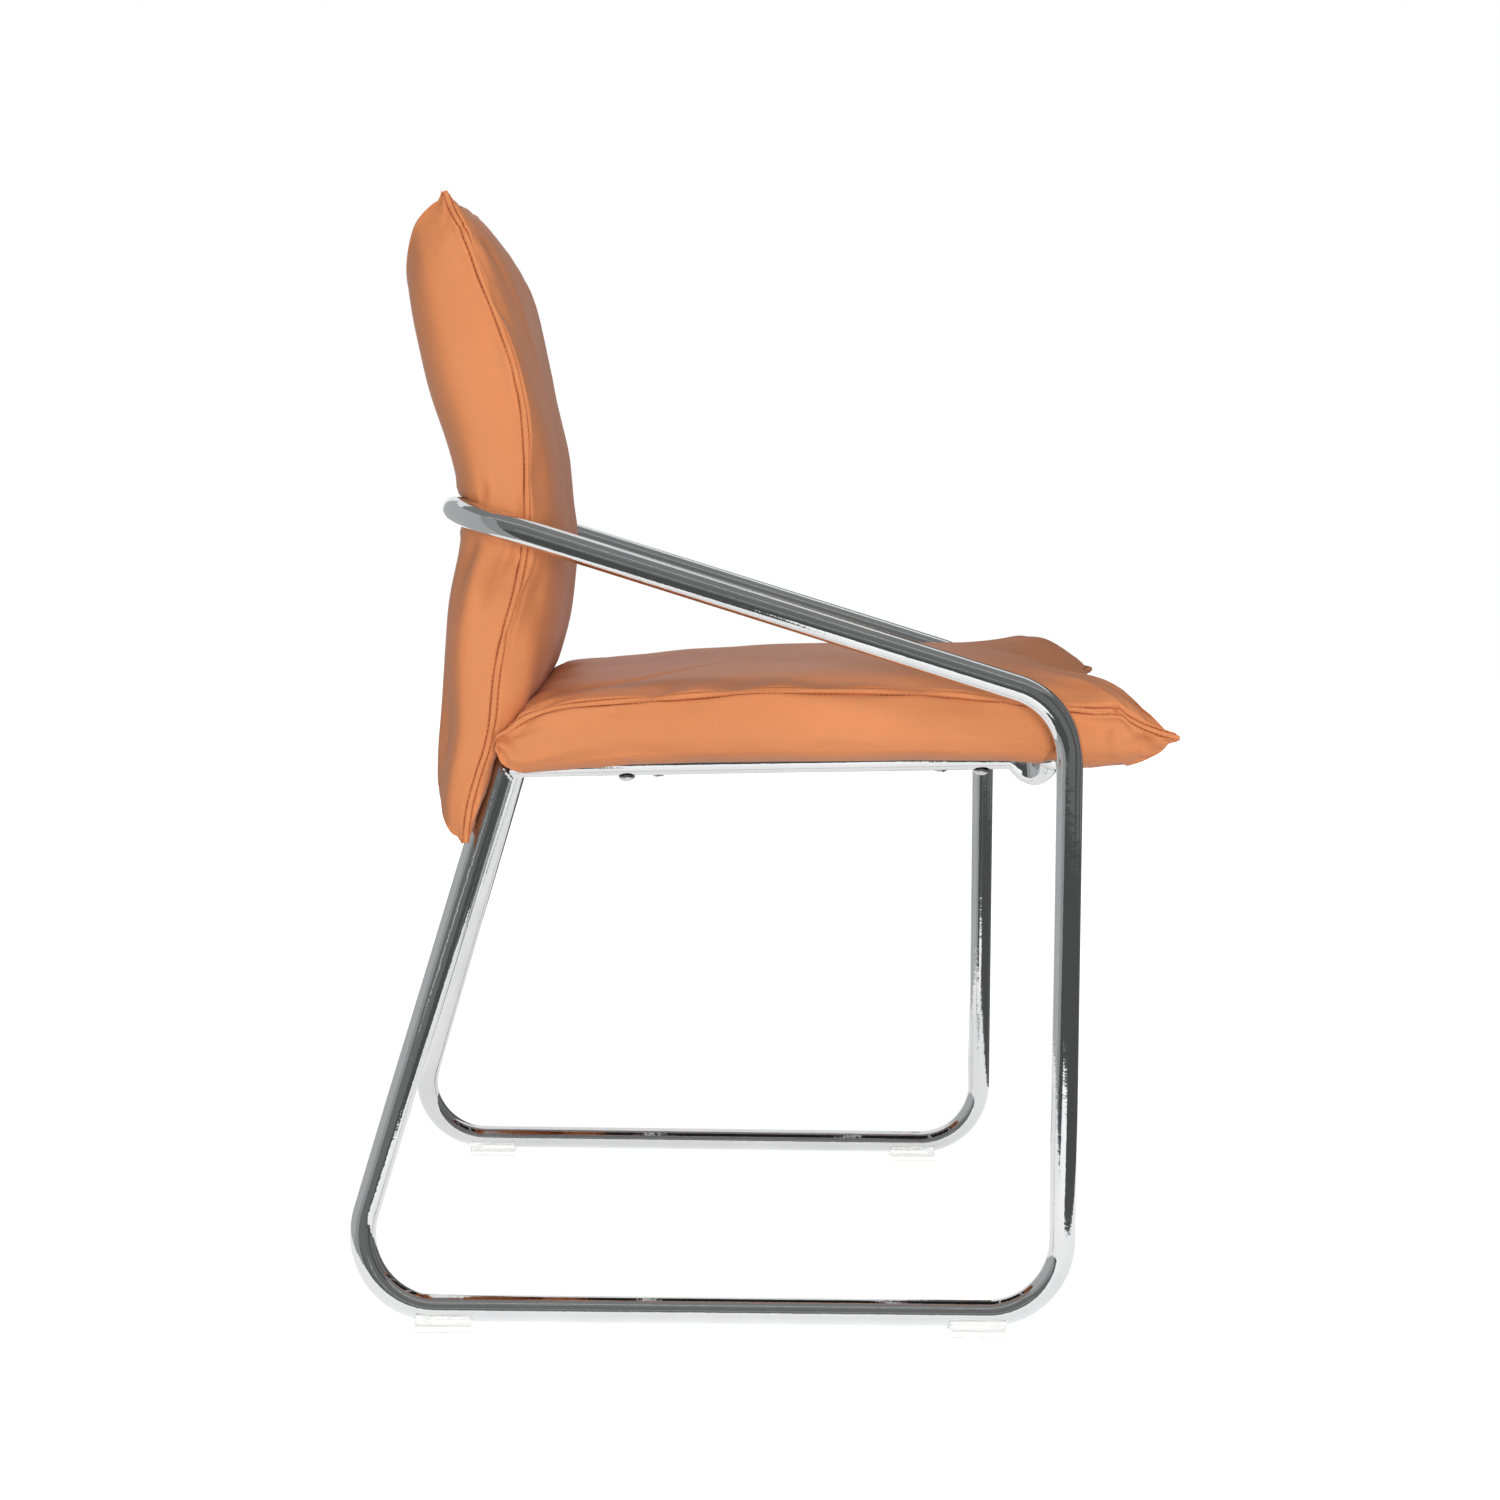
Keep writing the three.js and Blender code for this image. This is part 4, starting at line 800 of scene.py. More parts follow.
def model_screw():
    """A screw whose head sits on z = 0 and whose shank points to +z."""
    deselect()
    bpy.ops.mesh.primitive_uv_sphere_add(segments=48, ring_count=24, radius=HEAD_RADIUS)
    screw = bpy.context.object
    edit_all()
    bpy.ops.transform.resize(value=(1, 1, HEAD_HEIGHT / HEAD_RADIUS))
    bpy.ops.mesh.bisect(plane_co=(0, 0, 0), plane_no=(0, 0, 1), clear_outer=True, use_fill=True)
    to_object_mode()
    flat = max(screw.data.polygons, key=lambda face: face.normal.z * face.area)
    for item in (*screw.data.vertices, *screw.data.edges, *screw.data.polygons):
        item.select = False
    flat.select = True
    bpy.context.tool_settings.mesh_select_mode = (False, False, True)
    bpy.ops.object.mode_set(mode="EDIT")
    bpy.ops.mesh.inset(thickness=HEAD_RADIUS - SHANK_RADIUS, depth=0)
    bpy.ops.mesh.extrude_region_move(TRANSFORM_OT_translate={"value": (0, 0, SHANK_LENGTH)})
    to_object_mode()
    bpy.context.tool_settings.mesh_select_mode = (True, False, False)
    deselect()
    bpy.ops.mesh.primitive_cylinder_add(vertices=6, radius=SOCKET_RADIUS, depth=2 * SOCKET_DEPTH,
                                        location=(0, 0, -HEAD_HEIGHT))
    socket = bpy.context.object
    cut = screw.modifiers.new("socket", "BOOLEAN")
    cut.operation, cut.object, cut.solver = "DIFFERENCE", socket, "EXACT"
    pick(screw)
    bpy.ops.object.modifier_apply(modifier="socket")
    bpy.data.objects.remove(socket)
    return screw


def place_screw(model, name, node, place, shank_way):
    screw = model.copy()
    screw.data = model.data.copy()
    bpy.context.collection.objects.link(screw)
    screw.name = name
    turn = shank_way.to_track_quat("Z", "Y").to_matrix().to_4x4()
    screw.data.transform(Matrix.Translation(place) @ turn)
    finish_piece(screw, ZINC, "zinc_steel", node, smooth=30)


pattern = model_screw()
seat_up = Vector((0, sin_p, cos_p))
for name, side in SIDES.items():
    for end, y in SEAT_SCREWS.items():
        place = rail_point(side, y) - seat_up * (TUBE_RADIUS + SCREW_GAP)
        place_screw(pattern, f"seat_button_screw_{end}_{name}", f"seat_screw_{end}_{name}",
                    place, seat_up)
    place = at(side * BACK_SCREW_X, LOOP_Y + TUBE_RADIUS + SCREW_GAP, LOOP_Z)
    place_screw(pattern, f"back_button_screw_{name}", f"back_loop_screw_{name}",
                place, Vector((0, -1, 0)))
bpy.data.objects.remove(pattern)

# %% [markdown]
# ## Cushions
# Each cushion is two leather panels sewn together in a raised seam: a crowned panel where the sitter
# leans or sits, and a deep side panel that goes round to the other face. The corners end in pointed
# ears. The skin is lofted: rings follow the outline, from the middle of the crown over the seam to
# the middle of the other face. The same curves as in the CAD drive it, with many more rings.

# %% Curves of the cushions
SEAT_CROWN, SEAT_RIM_DROP = 0.070, 0.020
SEAT_EAR = {"side": 0.006, "low": 0.009, "high": 0.014, "round": 0.025}
# How the crown falls to the seam at each edge, as two exponents: the larger the first and the
# smaller the second, the fuller the edge
SEAT_ROLL = {"low": (4, 0.66), "side": (3.5, 0.55), "high": (15, 0.5), "high_side": (10, 0.42),
             "corner": (5, 0.66)}
SEAT_WELT = [(0, 0.06), (0.033, 0.15), (0.056, 0.22), (0.078, 0.3), (0.094, 0.38), (0.122, 0.385),
             (0.16, 0.415), (0.29, 0.55), (0.38, 0.62), (0.6, 0.67), (0.71, 0.63), (0.765, 0.605),
             (0.823, 0.57), (0.881, 0.51), (0.928, 0.4), (0.962, 0.29), (0.988, 0.18), (1, 0.05)]
SEAT_CROWN_CURVE = [(0, 0.87), (0.28, 0.87), (0.54, 0.86), (0.7, 0.8), (0.82, 0.71), (1, 0.68)]
SEAT_RIM = [(0, 0.85), (0.1, 1), (0.27, 0.65), (0.8, 0.55), (0.9, 0.8), (0.95, 0.98), (1, 0.85)]
BACK_SWEEP, BACK_CROWN, BACK_DEPTH = 0.063, 0.0365, 0.0645
BACK_EAR = {"side": 0.008, "low": 0.006, "high": 0.006, "round": 0.014}
BACK_ROLL = {"low": (4, 0.55), "side": (4, 0.55), "low_side": (9, 0.42), "high": (8, 0.45),
             "corner": (5, 0.4)}
BACK_LINE = [(0, 0.7), (0.11, 0.65), (0.21, 0.46), (0.34, 0.22), (0.5, 0.015), (0.6, 0.03),
             (0.74, 0.25), (0.88, 0.62), (0.94, 0.78), (1, 1)]
BACK_WELT = [(0, 0.68), (0.05, 0.66), (0.107, 0.604), (0.169, 0.515), (0.239, 0.403), (0.302, 0.29),
             (0.351, 0.195), (0.403, 0.095), (0.457, 0.025), (0.518, 0), (0.579, 0.003),
             (0.655, 0.041), (0.728, 0.152), (0.798, 0.333), (0.836, 0.452), (0.873, 0.571),
             (0.915, 0.69), (0.941, 0.775), (0.974, 0.925), (1, 1.02)]
BACK_CROWN_CURVE = [(0, 0.68), (0.2, 0.82), (0.33, 0.88), (0.45, 0.72), (0.55, 0.52), (0.7, 0.42),
                    (0.85, 0.55), (1, 0.64)]
BACK_REAR = [(0, 0.34), (0.11, 0.385), (0.21, 0.52), (0.3, 0.66), (0.4, 0.77), (0.5, 0.75),
             (0.55, 0.8), (0.62, 0.91), (0.7, 1.0), (0.8, 0.95), (0.88, 0.82), (1, 0.62)]
# From the seam round the side: depth, and the share of the ear or of the swell that is left there
SIDE_BULGE = [(0, 0), (0.12, 0.45), (0.35, 0.9), (0.62, 1), (0.85, 0.2)]
SEAT_LOW_EAR_FADE = [(0, 1), (0.12, 0.92), (0.35, 0.72), (0.62, 0.42), (0.85, 0.02)]
SEAT_HIGH_EAR_FADE = [(0, 1), (0.12, 1), (0.35, 0.98), (0.62, 0.9), (0.85, 0.55)]
BACK_LOW_EAR_FADE = [(0, 1), (0.12, 0.95), (0.35, 0.84), (0.62, 0.62), (0.85, 0.3)]
BACK_HIGH_EAR_FADE = [(0, 1), (0.12, 0.88), (0.35, 0.6), (0.62, 0.3), (0.85, 0.03)]
SIDE_SWELL, SIDE_TUCK, SIDE_DEPTH, EAR_SHARPNESS = 0.0045, 0.015, 0.85, 8
# Where along a side its roll starts to turn into the one of its end, and over which length
SIDE_ENDS = {"low_side": (0.42, -0.22), "high_side": (0.62, 0.25)}
EVEN_SHARE = 0.65


def smooth_step(value, low, high):
    """0 at low, 1 at high, and a smooth curve between them."""
    share = np.clip((value - low) / (high - low), 0, 1)
    return share * share * (3 - 2 * share)


def read_curve(rows, place):
    """A smooth curve through the rows, without overshoot, read at many places."""
    xs, ys = np.array(rows, float).T
    steps = np.diff(ys) / np.diff(xs)
    slopes = np.empty(len(xs))
    slopes[0], slopes[-1] = steps[0], steps[-1]
    before, after = steps[:-1], steps[1:]
    together = before + after
    safe = np.where(together == 0, 1, together)
    slopes[1:-1] = np.where(before * after <= 0, 0, 2 * before * after / safe)
    place = np.clip(place, xs[0], xs[-1])
    i = np.clip(np.searchsorted(xs, place, side="left") - 1, 0, len(xs) - 2)
    width = xs[i + 1] - xs[i]
    t = (place - xs[i]) / width
    h = 1 - t
    return (ys[i] * h * h * (1 + 2 * t) + ys[i + 1] * t * t * (3 - 2 * t)
            + width * h * t * (h * slopes[i] - t * slopes[i + 1]))


print("seat welt in the middle:", round(float(read_curve(SEAT_WELT, 0.5)) * SEAT_CROWN, 4))

# %% The outline of a cushion


def outline(side_steps, end_steps):
    """Points round a cushion: their edge, their place on it from -1 to 1, how near to a corner."""
    edges, places = [], []
    for edge, steps in enumerate((end_steps, side_steps, end_steps, side_steps)):
        share = np.arange(steps) / steps
        # Partly even and partly closer together towards the corners
        eased = EVEN_SHARE * share + (1 - EVEN_SHARE) * (0.5 - np.cos(np.pi * share) / 2)
        places.append(np.sin(np.pi * (eased - 0.5)))
        edges.append(np.full(steps, edge))
    place = np.concatenate(places)
    return {"edge": np.concatenate(edges), "place": place, "corner": np.abs(place) ** EAR_SHARPNESS}


def outline_at(cushion, points, ear, swell, scale):
    """The outline with its ears drawn out by the share ear, swollen and then scaled."""
    edge, place, corner = points["edge"], points["place"], points["corner"]
    is_end = edge % 2 == 0
    along = np.where(edge >= 2, -place, place)
    high_end = np.where(is_end, edge == 2, along > 0)
    ears = cushion["ear"]
    high_reach = np.where(high_end, ears["high"], ears["low"])
    u_pull = swell + corner * (-ears["round"] + ear * (ears["side"] + ears["round"]))
    v_pull = swell + corner * (-ears["round"] + ear * (high_reach + ears["round"]))
    half_u = cushion["half_width"] + u_pull
    half_v = cushion["half_length"] + v_pull
    u = np.where(is_end, along * half_u, half_u * np.where(edge == 1, 1, -1))
    v = np.where(is_end, half_v * np.where(high_end, 1, -1), along * half_v)
    return u * scale, cushion["middle"] + v * scale


def ring(cushion, points, row):
    """One ring of the skin. Rows run from -1 in the crown's middle over the seam at 0 to 1 at the
    side panel's far edge, and beyond 1 over the face that closes the cushion."""
    def share_of(v):
        return (v - cushion["low"]) / (cushion["high"] - cushion["low"])

    _, v_full = outline_at(cushion, points, 1, 0, 1)
    welt = cushion["welt"](share_of(v_full))
    if row <= 0:
        share = 1 + row
        u, v = outline_at(cushion, points, share ** EAR_SHARPNESS, 0, share)
        names = np.array(["low", "side", "high", "side"])[points["edge"]]
        roll = np.array([cushion["roll"][n] for n in names], float)
        for end, (start, reach) in SIDE_ENDS.items():
            if end in cushion["roll"]:
                near_end = smooth_step(share_of(v), start, start + reach) * (names == "side")
                roll = roll + (np.array(cushion["roll"][end], float) - roll) * near_end[:, None]
        corner_roll = np.array(cushion["roll"]["corner"], float)
        roll = roll + (corner_roll - roll) * points["corner"][:, None]
        fall = (1 - share ** roll[:, 0]) ** roll[:, 1]
        height = welt + (cushion["crown"](share_of(v)) - welt) * fall
    elif row <= 1:
        depth = row * SIDE_DEPTH
        is_high = np.where(points["edge"] % 2 == 0, points["edge"] == 2, v_full > cushion["middle"])
        fade = cushion["ear_fade"]
        ear = np.where(is_high, read_curve(fade["high"], depth), read_curve(fade["low"], depth))
        swell = read_curve(SIDE_BULGE, depth) * SIDE_SWELL
        u, v = outline_at(cushion, points, ear, swell, 1)
        height = welt + (cushion["floor"](share_of(v)) - welt) * depth
    else:
        return cushion["closing"](points, row - 1)
    return np.stack([u, v, height], axis=1)


def skin(cushion, points, rows):
    rings = np.stack([ring(cushion, points, row) for row in rows])
    flat = rings.reshape(-1, 3)
    placed = flat @ cushion["turn"].T + cushion["place"]
    return placed.reshape(rings.shape)


print("outline ready")

# %% The seat's and the back's own shapes
PANEL_HALF_WIDTH = HALF_FRAME - TUBE_RADIUS - 0.018
SEAT_LOW, SEAT_HIGH = FRONT_TOP_Y - 0.073, RAIL_REAR_Y - 0.027
# The curves along the seat are read from a little outside its panel
SEAT_BEYOND_LOW, SEAT_BEYOND_HIGH = 0.016, 0.025
SEAT_RIM_WIDTH, SEAT_FLANGE = 0.034, 0.009
FLANGE_BOTTOM = 0.0014
BACK_LOW, BACK_HIGH = BACK_BOTTOM + 0.011, BACK_BOTTOM + BACK_HEIGHT - 0.012
WAIST_Y = LOOP_Y - 0.055


def seat_closing(points, row):
    """The rim's lower edge, its way in under the board, and the flange."""
    tucked = {0.0: -SIDE_TUCK, 1.0: -SEAT_RIM_WIDTH, 1.4: -SEAT_RIM_WIDTH - SEAT_FLANGE}
    keys = np.array(list(tucked))
    swell = np.interp(row, keys, np.array(list(tucked.values())))
    start_u, start_v = outline_at(SEAT, points, 0, -SIDE_TUCK, 1)
    u, v = outline_at(SEAT, points, 0, swell, 1)
    floor_height = SEAT["floor"]((start_v - SEAT["low"]) / (SEAT["high"] - SEAT["low"]))
    height = floor_height + (FLANGE_BOTTOM - floor_height) * smooth_step(row, 0, 1)
    return np.stack([u, v, height + 0 * u], axis=1)


def back_closing(points, row):
    """The back's rear face, from its edge at 0 to its middle at 1."""
    scale = 1 - row
    u, v = outline_at(BACK, points, 0, -SIDE_TUCK, scale)
    height = BACK["floor"]((v - BACK["low"]) / (BACK["high"] - BACK["low"]))
    return np.stack([u, v, height], axis=1)


SEAT = {
    "half_width": PANEL_HALF_WIDTH,
    "half_length": (SEAT_HIGH - SEAT_LOW) / 2,
    "middle": (SEAT_HIGH + SEAT_LOW) / 2,
    "low": SEAT_LOW - SEAT_BEYOND_LOW,
    "high": SEAT_HIGH + SEAT_BEYOND_HIGH,
    "ear": SEAT_EAR,
    "ear_fade": {"low": SEAT_LOW_EAR_FADE, "high": SEAT_HIGH_EAR_FADE},
    "roll": SEAT_ROLL,
    "welt": lambda share: SEAT_CROWN * read_curve(SEAT_WELT, share),
    "crown": lambda share: SEAT_CROWN * read_curve(SEAT_CROWN_CURVE, share),
    "floor": lambda share: -SEAT_RIM_DROP * read_curve(SEAT_RIM, share),
    "closing": seat_closing,
    "turn": np.array([[1, 0, 0], [0, cos_p, sin_p], [0, -sin_p, cos_p]]),
    "place": np.array([0, ROW_SHIFT, RAIL_TOP]),
}


def back_line(share):
    return -BACK_SWEEP * read_curve(BACK_LINE, share)


BACK = {
    "half_width": PANEL_HALF_WIDTH,
    "half_length": (BACK_HIGH - BACK_LOW) / 2,
    "middle": (BACK_HIGH + BACK_LOW) / 2,
    "low": BACK_BOTTOM,
    "high": BACK_BOTTOM + BACK_HEIGHT,
    "ear": BACK_EAR,
    "ear_fade": {"low": BACK_LOW_EAR_FADE, "high": BACK_HIGH_EAR_FADE},
    "roll": BACK_ROLL,
    "welt": lambda share: -BACK_SWEEP * read_curve(BACK_WELT, share),
    "crown": lambda share: back_line(share) + BACK_CROWN * read_curve(BACK_CROWN_CURVE, share),
    "floor": lambda share: back_line(share) - BACK_DEPTH * read_curve(BACK_REAR, share),
    "closing": back_closing,
    "turn": np.array([[1, 0, 0], [0, 0, -1], [0, 1, 0]]),
    "place": np.array([0, ROW_SHIFT + WAIST_Y, 0]),
}
print("seat from", round(SEAT["low"], 3), "to", round(SEAT["high"], 3))

# %% [markdown]
# ## From curves to a fine grid
# Seams are only a few millimetres wide, so the skin needs rings less than half a millimetre apart
# beside them and far fewer elsewhere. The loft is first made very fine and then read again at chosen
# distances along the leather from the seam, as a sewer would measure them.

# %% Rings at chosen distances from the seam
NEAR_SEAM = np.array([0.4, 0.8, 1.2, 1.6, 1.95, 2.3, 2.6, 2.9, 3.2, 3.6, 4.1, 4.7, 5.5, 6.6, 8.0,
                      9.8]) / 1000
CROWN_STEPS, SIDE_STEPS = 34, 20
DENSE_CROWN = -np.concatenate([[0.0], np.geomspace(2e-5, 0.985, 240)])
DENSE_SIDE = np.concatenate([np.linspace(0.002, 0.3, 60), np.linspace(0.31, 1, 60)])


def lengths_along(grid):
    steps = np.linalg.norm(np.diff(grid, axis=0), axis=2)
    return np.concatenate([np.zeros((1, grid.shape[1])), np.cumsum(steps, axis=0)])


def read_rings(grid, start_row, near, far_steps, ease):
    """Rings from a start row on, at the near distances and then in far_steps even steps."""
    part = grid[start_row:]
    travelled = lengths_along(part)
    shares = (np.arange(1, far_steps + 1) / far_steps) ** ease
    rings = np.empty((len(near) + far_steps, grid.shape[1], 3))
    for c in range(grid.shape[1]):
        total = travelled[-1, c]
        close = near * min(1, 0.6 * total / near[-1])
        wanted = np.concatenate([close, close[-1] + (total - close[-1]) * shares])
        for axis in range(3):
            rings[:, c, axis] = np.interp(wanted, travelled[:, c], part[:, c, axis])
    return rings


def lofted(cushion, points, closing_rows):
    crown = skin(cushion, points, DENSE_CROWN)
    side = skin(cushion, points, np.concatenate([[0.0], DENSE_SIDE]))
    closing = skin(cushion, points, closing_rows)
    crown_rings = read_rings(crown, 0, NEAR_SEAM, CROWN_STEPS, 1.25)
    side_rings = read_rings(side, 0, NEAR_SEAM, SIDE_STEPS, 1.0)
    grid = np.concatenate([crown_rings[::-1], side[:1], side_rings, closing])
    return grid, len(crown_rings)


print("rings beside the seam:", len(NEAR_SEAM))

# %% [markdown]
# ## Seams, channels and folds
# Four things shape the lofted skin. The seam is a flat raised band with a sewn groove on each side.
# A tube that presses in pushes the skin ahead of it and raises it a little beside itself. Folds are
# valleys along short lines, where the leather is gathered at an ear or pinched by the loop. And
# the slack of the leather comes from a short cloth simulation.

# %% Helpers that read the skin
def normals_of(grid):
    """Unit normals of a grid of points, whose columns close round."""
    across = np.roll(grid, -1, axis=1) - np.roll(grid, 1, axis=1)
    along = np.empty_like(grid)
    along[1:-1] = grid[2:] - grid[:-2]
    along[0], along[-1] = grid[1] - grid[0], grid[-1] - grid[-2]
    normal = np.cross(across, along)
    normal /= np.maximum(np.linalg.norm(normal, axis=2, keepdims=True), 1e-12)
    middle = grid.reshape(-1, 3).mean(axis=0)
    outward = np.sign(np.sum(normal * (grid - middle), axis=2).sum())
    return normal * outward


def distance_from(grid, seam_row):
    """Length along the skin from the seam, negative on the crown's side."""
    travelled = lengths_along(grid)
    return travelled - travelled[seam_row]


def hump(distance, centre, width):
    return np.exp(-(((distance - centre) / width) ** 2))


# %% The seam
BAND_HALF, BAND_HEIGHT = 0.0023, 0.0009
GROOVE_PLACE, GROOVE_HALF, GROOVE_DEPTH = 0.0027, 0.00062, 0.0011
SEAM_WANDER, GROOVE_CHANGE = 0.0003, 0.3
PUFF_PLACE, PUFF_HALF, PUFF_HEIGHT = 0.0062, 0.0022, 0.0005
TAB_REACH, TAB_LENGTH, TAB_HALF = 0.0055, 0.0085, 0.0058


def wavy(points, seed, size):
    """A slow random wave round the cushion that closes on itself."""
    rng = np.random.default_rng(seed)
    turn = np.linspace(0, 2 * np.pi, len(points["place"]), endpoint=False)
    wave = sum(rng.normal() * np.sin(n * turn + rng.uniform(0, 2 * np.pi)) / n ** 0.5
               for n in range(9, 120, 3))
    return size * wave / np.abs(wave).max()


def sew_seam(cushion, grid, points, seam_row, seed):
    """Raises the band, sinks its grooves and pulls out the tabs of the ears."""
    normals = normals_of(grid)
    distance = distance_from(grid, seam_row)
    shift = wavy(points, seed, SEAM_WANDER)[None, :]
    strength = 1 + wavy(points, seed + 1, GROOVE_CHANGE)[None, :]
    band = BAND_HEIGHT * np.exp(-((distance / BAND_HALF) ** 6))
    upper = hump(distance + shift * 0.4, -GROOVE_PLACE, GROOVE_HALF)
    lower = hump(distance + shift, GROOVE_PLACE, GROOVE_HALF) * strength
    puff = PUFF_HEIGHT * (hump(distance, PUFF_PLACE, PUFF_HALF)
                          + hump(distance, -PUFF_PLACE, PUFF_HALF))
    moved = band - GROOVE_DEPTH * (upper + lower) + puff
    shaped = grid + normals * moved[..., None]
    # The mask for the shade painted into both grooves
    crease = np.clip(upper + lower, 0, 1)
    # The tabs: the band runs on past each ear's tip
    tips = np.flatnonzero(np.isclose(np.abs(points["place"]), 1, atol=1e-9))
    middle = grid[seam_row].mean(axis=0)
    for tip in tips:
        outward = grid[seam_row, tip] - middle
        outward -= cushion["turn"][:, 2] * (outward @ cushion["turn"][:, 2])
        outward /= np.linalg.norm(outward)
        near_tip = np.linalg.norm(grid - grid[seam_row, tip], axis=2)
        in_band = np.exp(-((distance / TAB_HALF) ** 6))
        pull = TAB_REACH * hump(near_tip, 0, TAB_LENGTH) * in_band
        shaped += outward * pull[..., None]
        # Less shade is painted round the ear's tip
        crease *= 1 - 0.6 * hump(near_tip, 0, 0.006)
    return shaped, crease


# %% Folds
def away_from_line(flat, line):
    """Distance of flat points from a line of points, and the share along it."""
    best = np.full(flat.shape[0], np.inf)
    share = np.zeros(flat.shape[0])
    line = np.array(line, float)
    lengths = np.linalg.norm(np.diff(line, axis=0), axis=1)
    total, gone = lengths.sum(), 0.0
    for start, end, length in zip(line[:-1], line[1:], lengths):
        along = np.clip(((flat - start) @ (end - start)) / length ** 2, 0, 1)
        away = np.linalg.norm(flat - start - along[:, None] * (end - start), axis=1)
        closer = away < best
        best[closer] = away[closer]
        share[closer] = (gone + along[closer] * length) / total
        gone += length
    return best, share


def fold_skin(grid, normals, folds, axes, mask):
    """Presses a valley with a soft ridge beside it along each fold: line, width and depth."""
    flat = grid.reshape(-1, 3)[:, axes]
    use = mask.ravel()
    moved = np.zeros(len(flat))
    painted_shade = np.zeros(len(flat))
    for line, width, depth in folds:
        away, share = away_from_line(flat[use], line)
        # Deepest near its start, and gone at its end
        fade = np.minimum(1, (share + 0.02) / 0.15) * (1 - share) ** 0.7
        valley = np.exp(-((away / width) ** 2))
        ridge = np.exp(-(((away - 2.1 * width) / (1.1 * width)) ** 2))
        moved[use] += depth * fade * (0.4 * ridge - valley)
        # The mask for the shade painted along the middle of each valley
        painted_shade[use] = np.maximum(painted_shade[use], 0.3 * fade * np.exp(-((away / (0.6 * width)) ** 2)))
    shape = grid.shape[:2]
    return grid + normals * moved.reshape(shape)[..., None], painted_shade.reshape(shape)


# %% Tubes that press in
RAISED_BESIDE = 0.0014


def press_in(grid, path_points, path_inward, room):
    """Pushes the skin ahead of a tube that presses into it, and raises it beside the tube."""
    flat = grid.reshape(-1, 3)
    best = np.full(len(flat), np.inf)
    index = np.zeros(len(flat), int)
    for i, point in enumerate(path_points):
        away = np.linalg.norm(flat - point, axis=1)
        closer = away < best
        best[closer], index[closer] = away[closer], i
    point, inward = path_points[index], path_inward[index]
    ahead = path_points[np.minimum(index + 1, len(path_points) - 1)]
    behind = path_points[np.maximum(index - 1, 0)]
    tangent = ahead - behind
    tangent /= np.linalg.norm(tangent, axis=1, keepdims=True)
    offset = flat - point
    offset -= tangent * np.sum(offset * tangent, axis=1, keepdims=True)
    past_end = np.abs(np.sum((flat - point) * tangent, axis=1)) / room
    depth = np.sum(offset * inward, axis=1)
    beside = np.linalg.norm(offset - inward * depth[:, None], axis=1)
    edge = np.maximum(room ** 2 - beside ** 2, 0) ** 0.5
    inside = (beside < room) & (depth < edge) & (best < 4 * room)
    touching = np.exp(-(((beside - 1.5 * room) / (0.45 * room)) ** 2))
    touching *= (depth < 0.8 * room) & (depth > -1.3 * room) & (beside > room) & (best < 3 * room)
    held = np.clip(1.6 - past_end, 0, 1)
    flat = flat + inward * (held * np.where(inside, edge - depth, 0))[:, None]
    flat = flat - inward * (held * RAISED_BESIDE * touching)[:, None]
    return flat.reshape(grid.shape)


# %% The slack of the leather
SLACK_COLUMN_STEP = 6
CLOTH_FRAMES = 20
CLOTH_PRESSURE = 4.0
SLACK = 0.003
# Beside the seam the coarse copy has only one ring on each side, half held like the seam itself
BESIDE_SEAM = 9


def slack_of(name, grid, seam_row, pinned_rows):
    """How a coarse copy of the skin moves under pressure, spread over the fine grid."""
    rows = np.unique(np.concatenate([
        np.arange(0, seam_row - 12, 2), [seam_row - BESIDE_SEAM, seam_row, seam_row + BESIDE_SEAM],
        np.arange(seam_row + 13, len(grid), 2), [len(grid) - 1]]))
    columns = np.arange(0, grid.shape[1], SLACK_COLUMN_STEP)
    coarse = grid[rows][:, columns]
    trial = mesh_from_grid(f"{name}_trial", coarse)
    held = trial.vertex_groups.new(name="held")
    for r, row in enumerate(rows):
        weight = 0.5 if abs(row - seam_row) == BESIDE_SEAM else 0
        if row in pinned_rows or row == seam_row:
            weight = 1.0
        if weight:
            held.add([r * len(columns) + c for c in range(len(columns))], weight, "REPLACE")
    cloth = trial.modifiers.new("leather", "CLOTH")
    cloth.settings.quality = 6
    cloth.settings.mass = 0.4
    cloth.settings.tension_stiffness = 18
    cloth.settings.compression_stiffness = 18
    cloth.settings.shear_stiffness = 8
    cloth.settings.bending_stiffness = 0.6
    cloth.settings.use_pressure = True
    cloth.settings.uniform_pressure_force = CLOTH_PRESSURE
    cloth.settings.shrink_min = -0.012
    cloth.settings.vertex_group_mass = "held"
    cloth.settings.effector_weights.gravity = 0
    cloth.point_cache.frame_start, cloth.point_cache.frame_end = 1, CLOTH_FRAMES
    before = np.array([tuple(v.co) for v in trial.data.vertices])
    for moment in range(1, CLOTH_FRAMES + 1):
        bpy.context.scene.frame_set(moment)
    pick(trial)
    bpy.ops.object.modifier_apply(modifier="leather")
    after = np.array([tuple(v.co) for v in trial.data.vertices])
    bpy.context.scene.frame_set(1)
    bpy.data.objects.remove(trial)
    moved = (after - before)[: len(rows) * len(columns)].reshape(coarse.shape)
    size = np.linalg.norm(moved, axis=2, keepdims=True)
    moved *= SLACK * np.tanh(size / SLACK) / np.maximum(size, 1e-9)
    print(name, "moves", round(1000 * float(size.max()), 1), "mm at most")
    closed = np.concatenate([moved, moved[:, :1]], axis=1)
    at_columns = np.append(columns, grid.shape[1])
    spread = np.empty((len(rows), grid.shape[1], 3))
    for r in range(len(rows)):
        for axis in range(3):
            spread[r, :, axis] = np.interp(np.arange(grid.shape[1]), at_columns, closed[r, :, axis])
    full = np.empty_like(grid)
    for c in range(grid.shape[1]):
        for axis in range(3):
            full[:, c, axis] = np.interp(np.arange(len(grid)), rows, spread[:, c, axis])
    return full


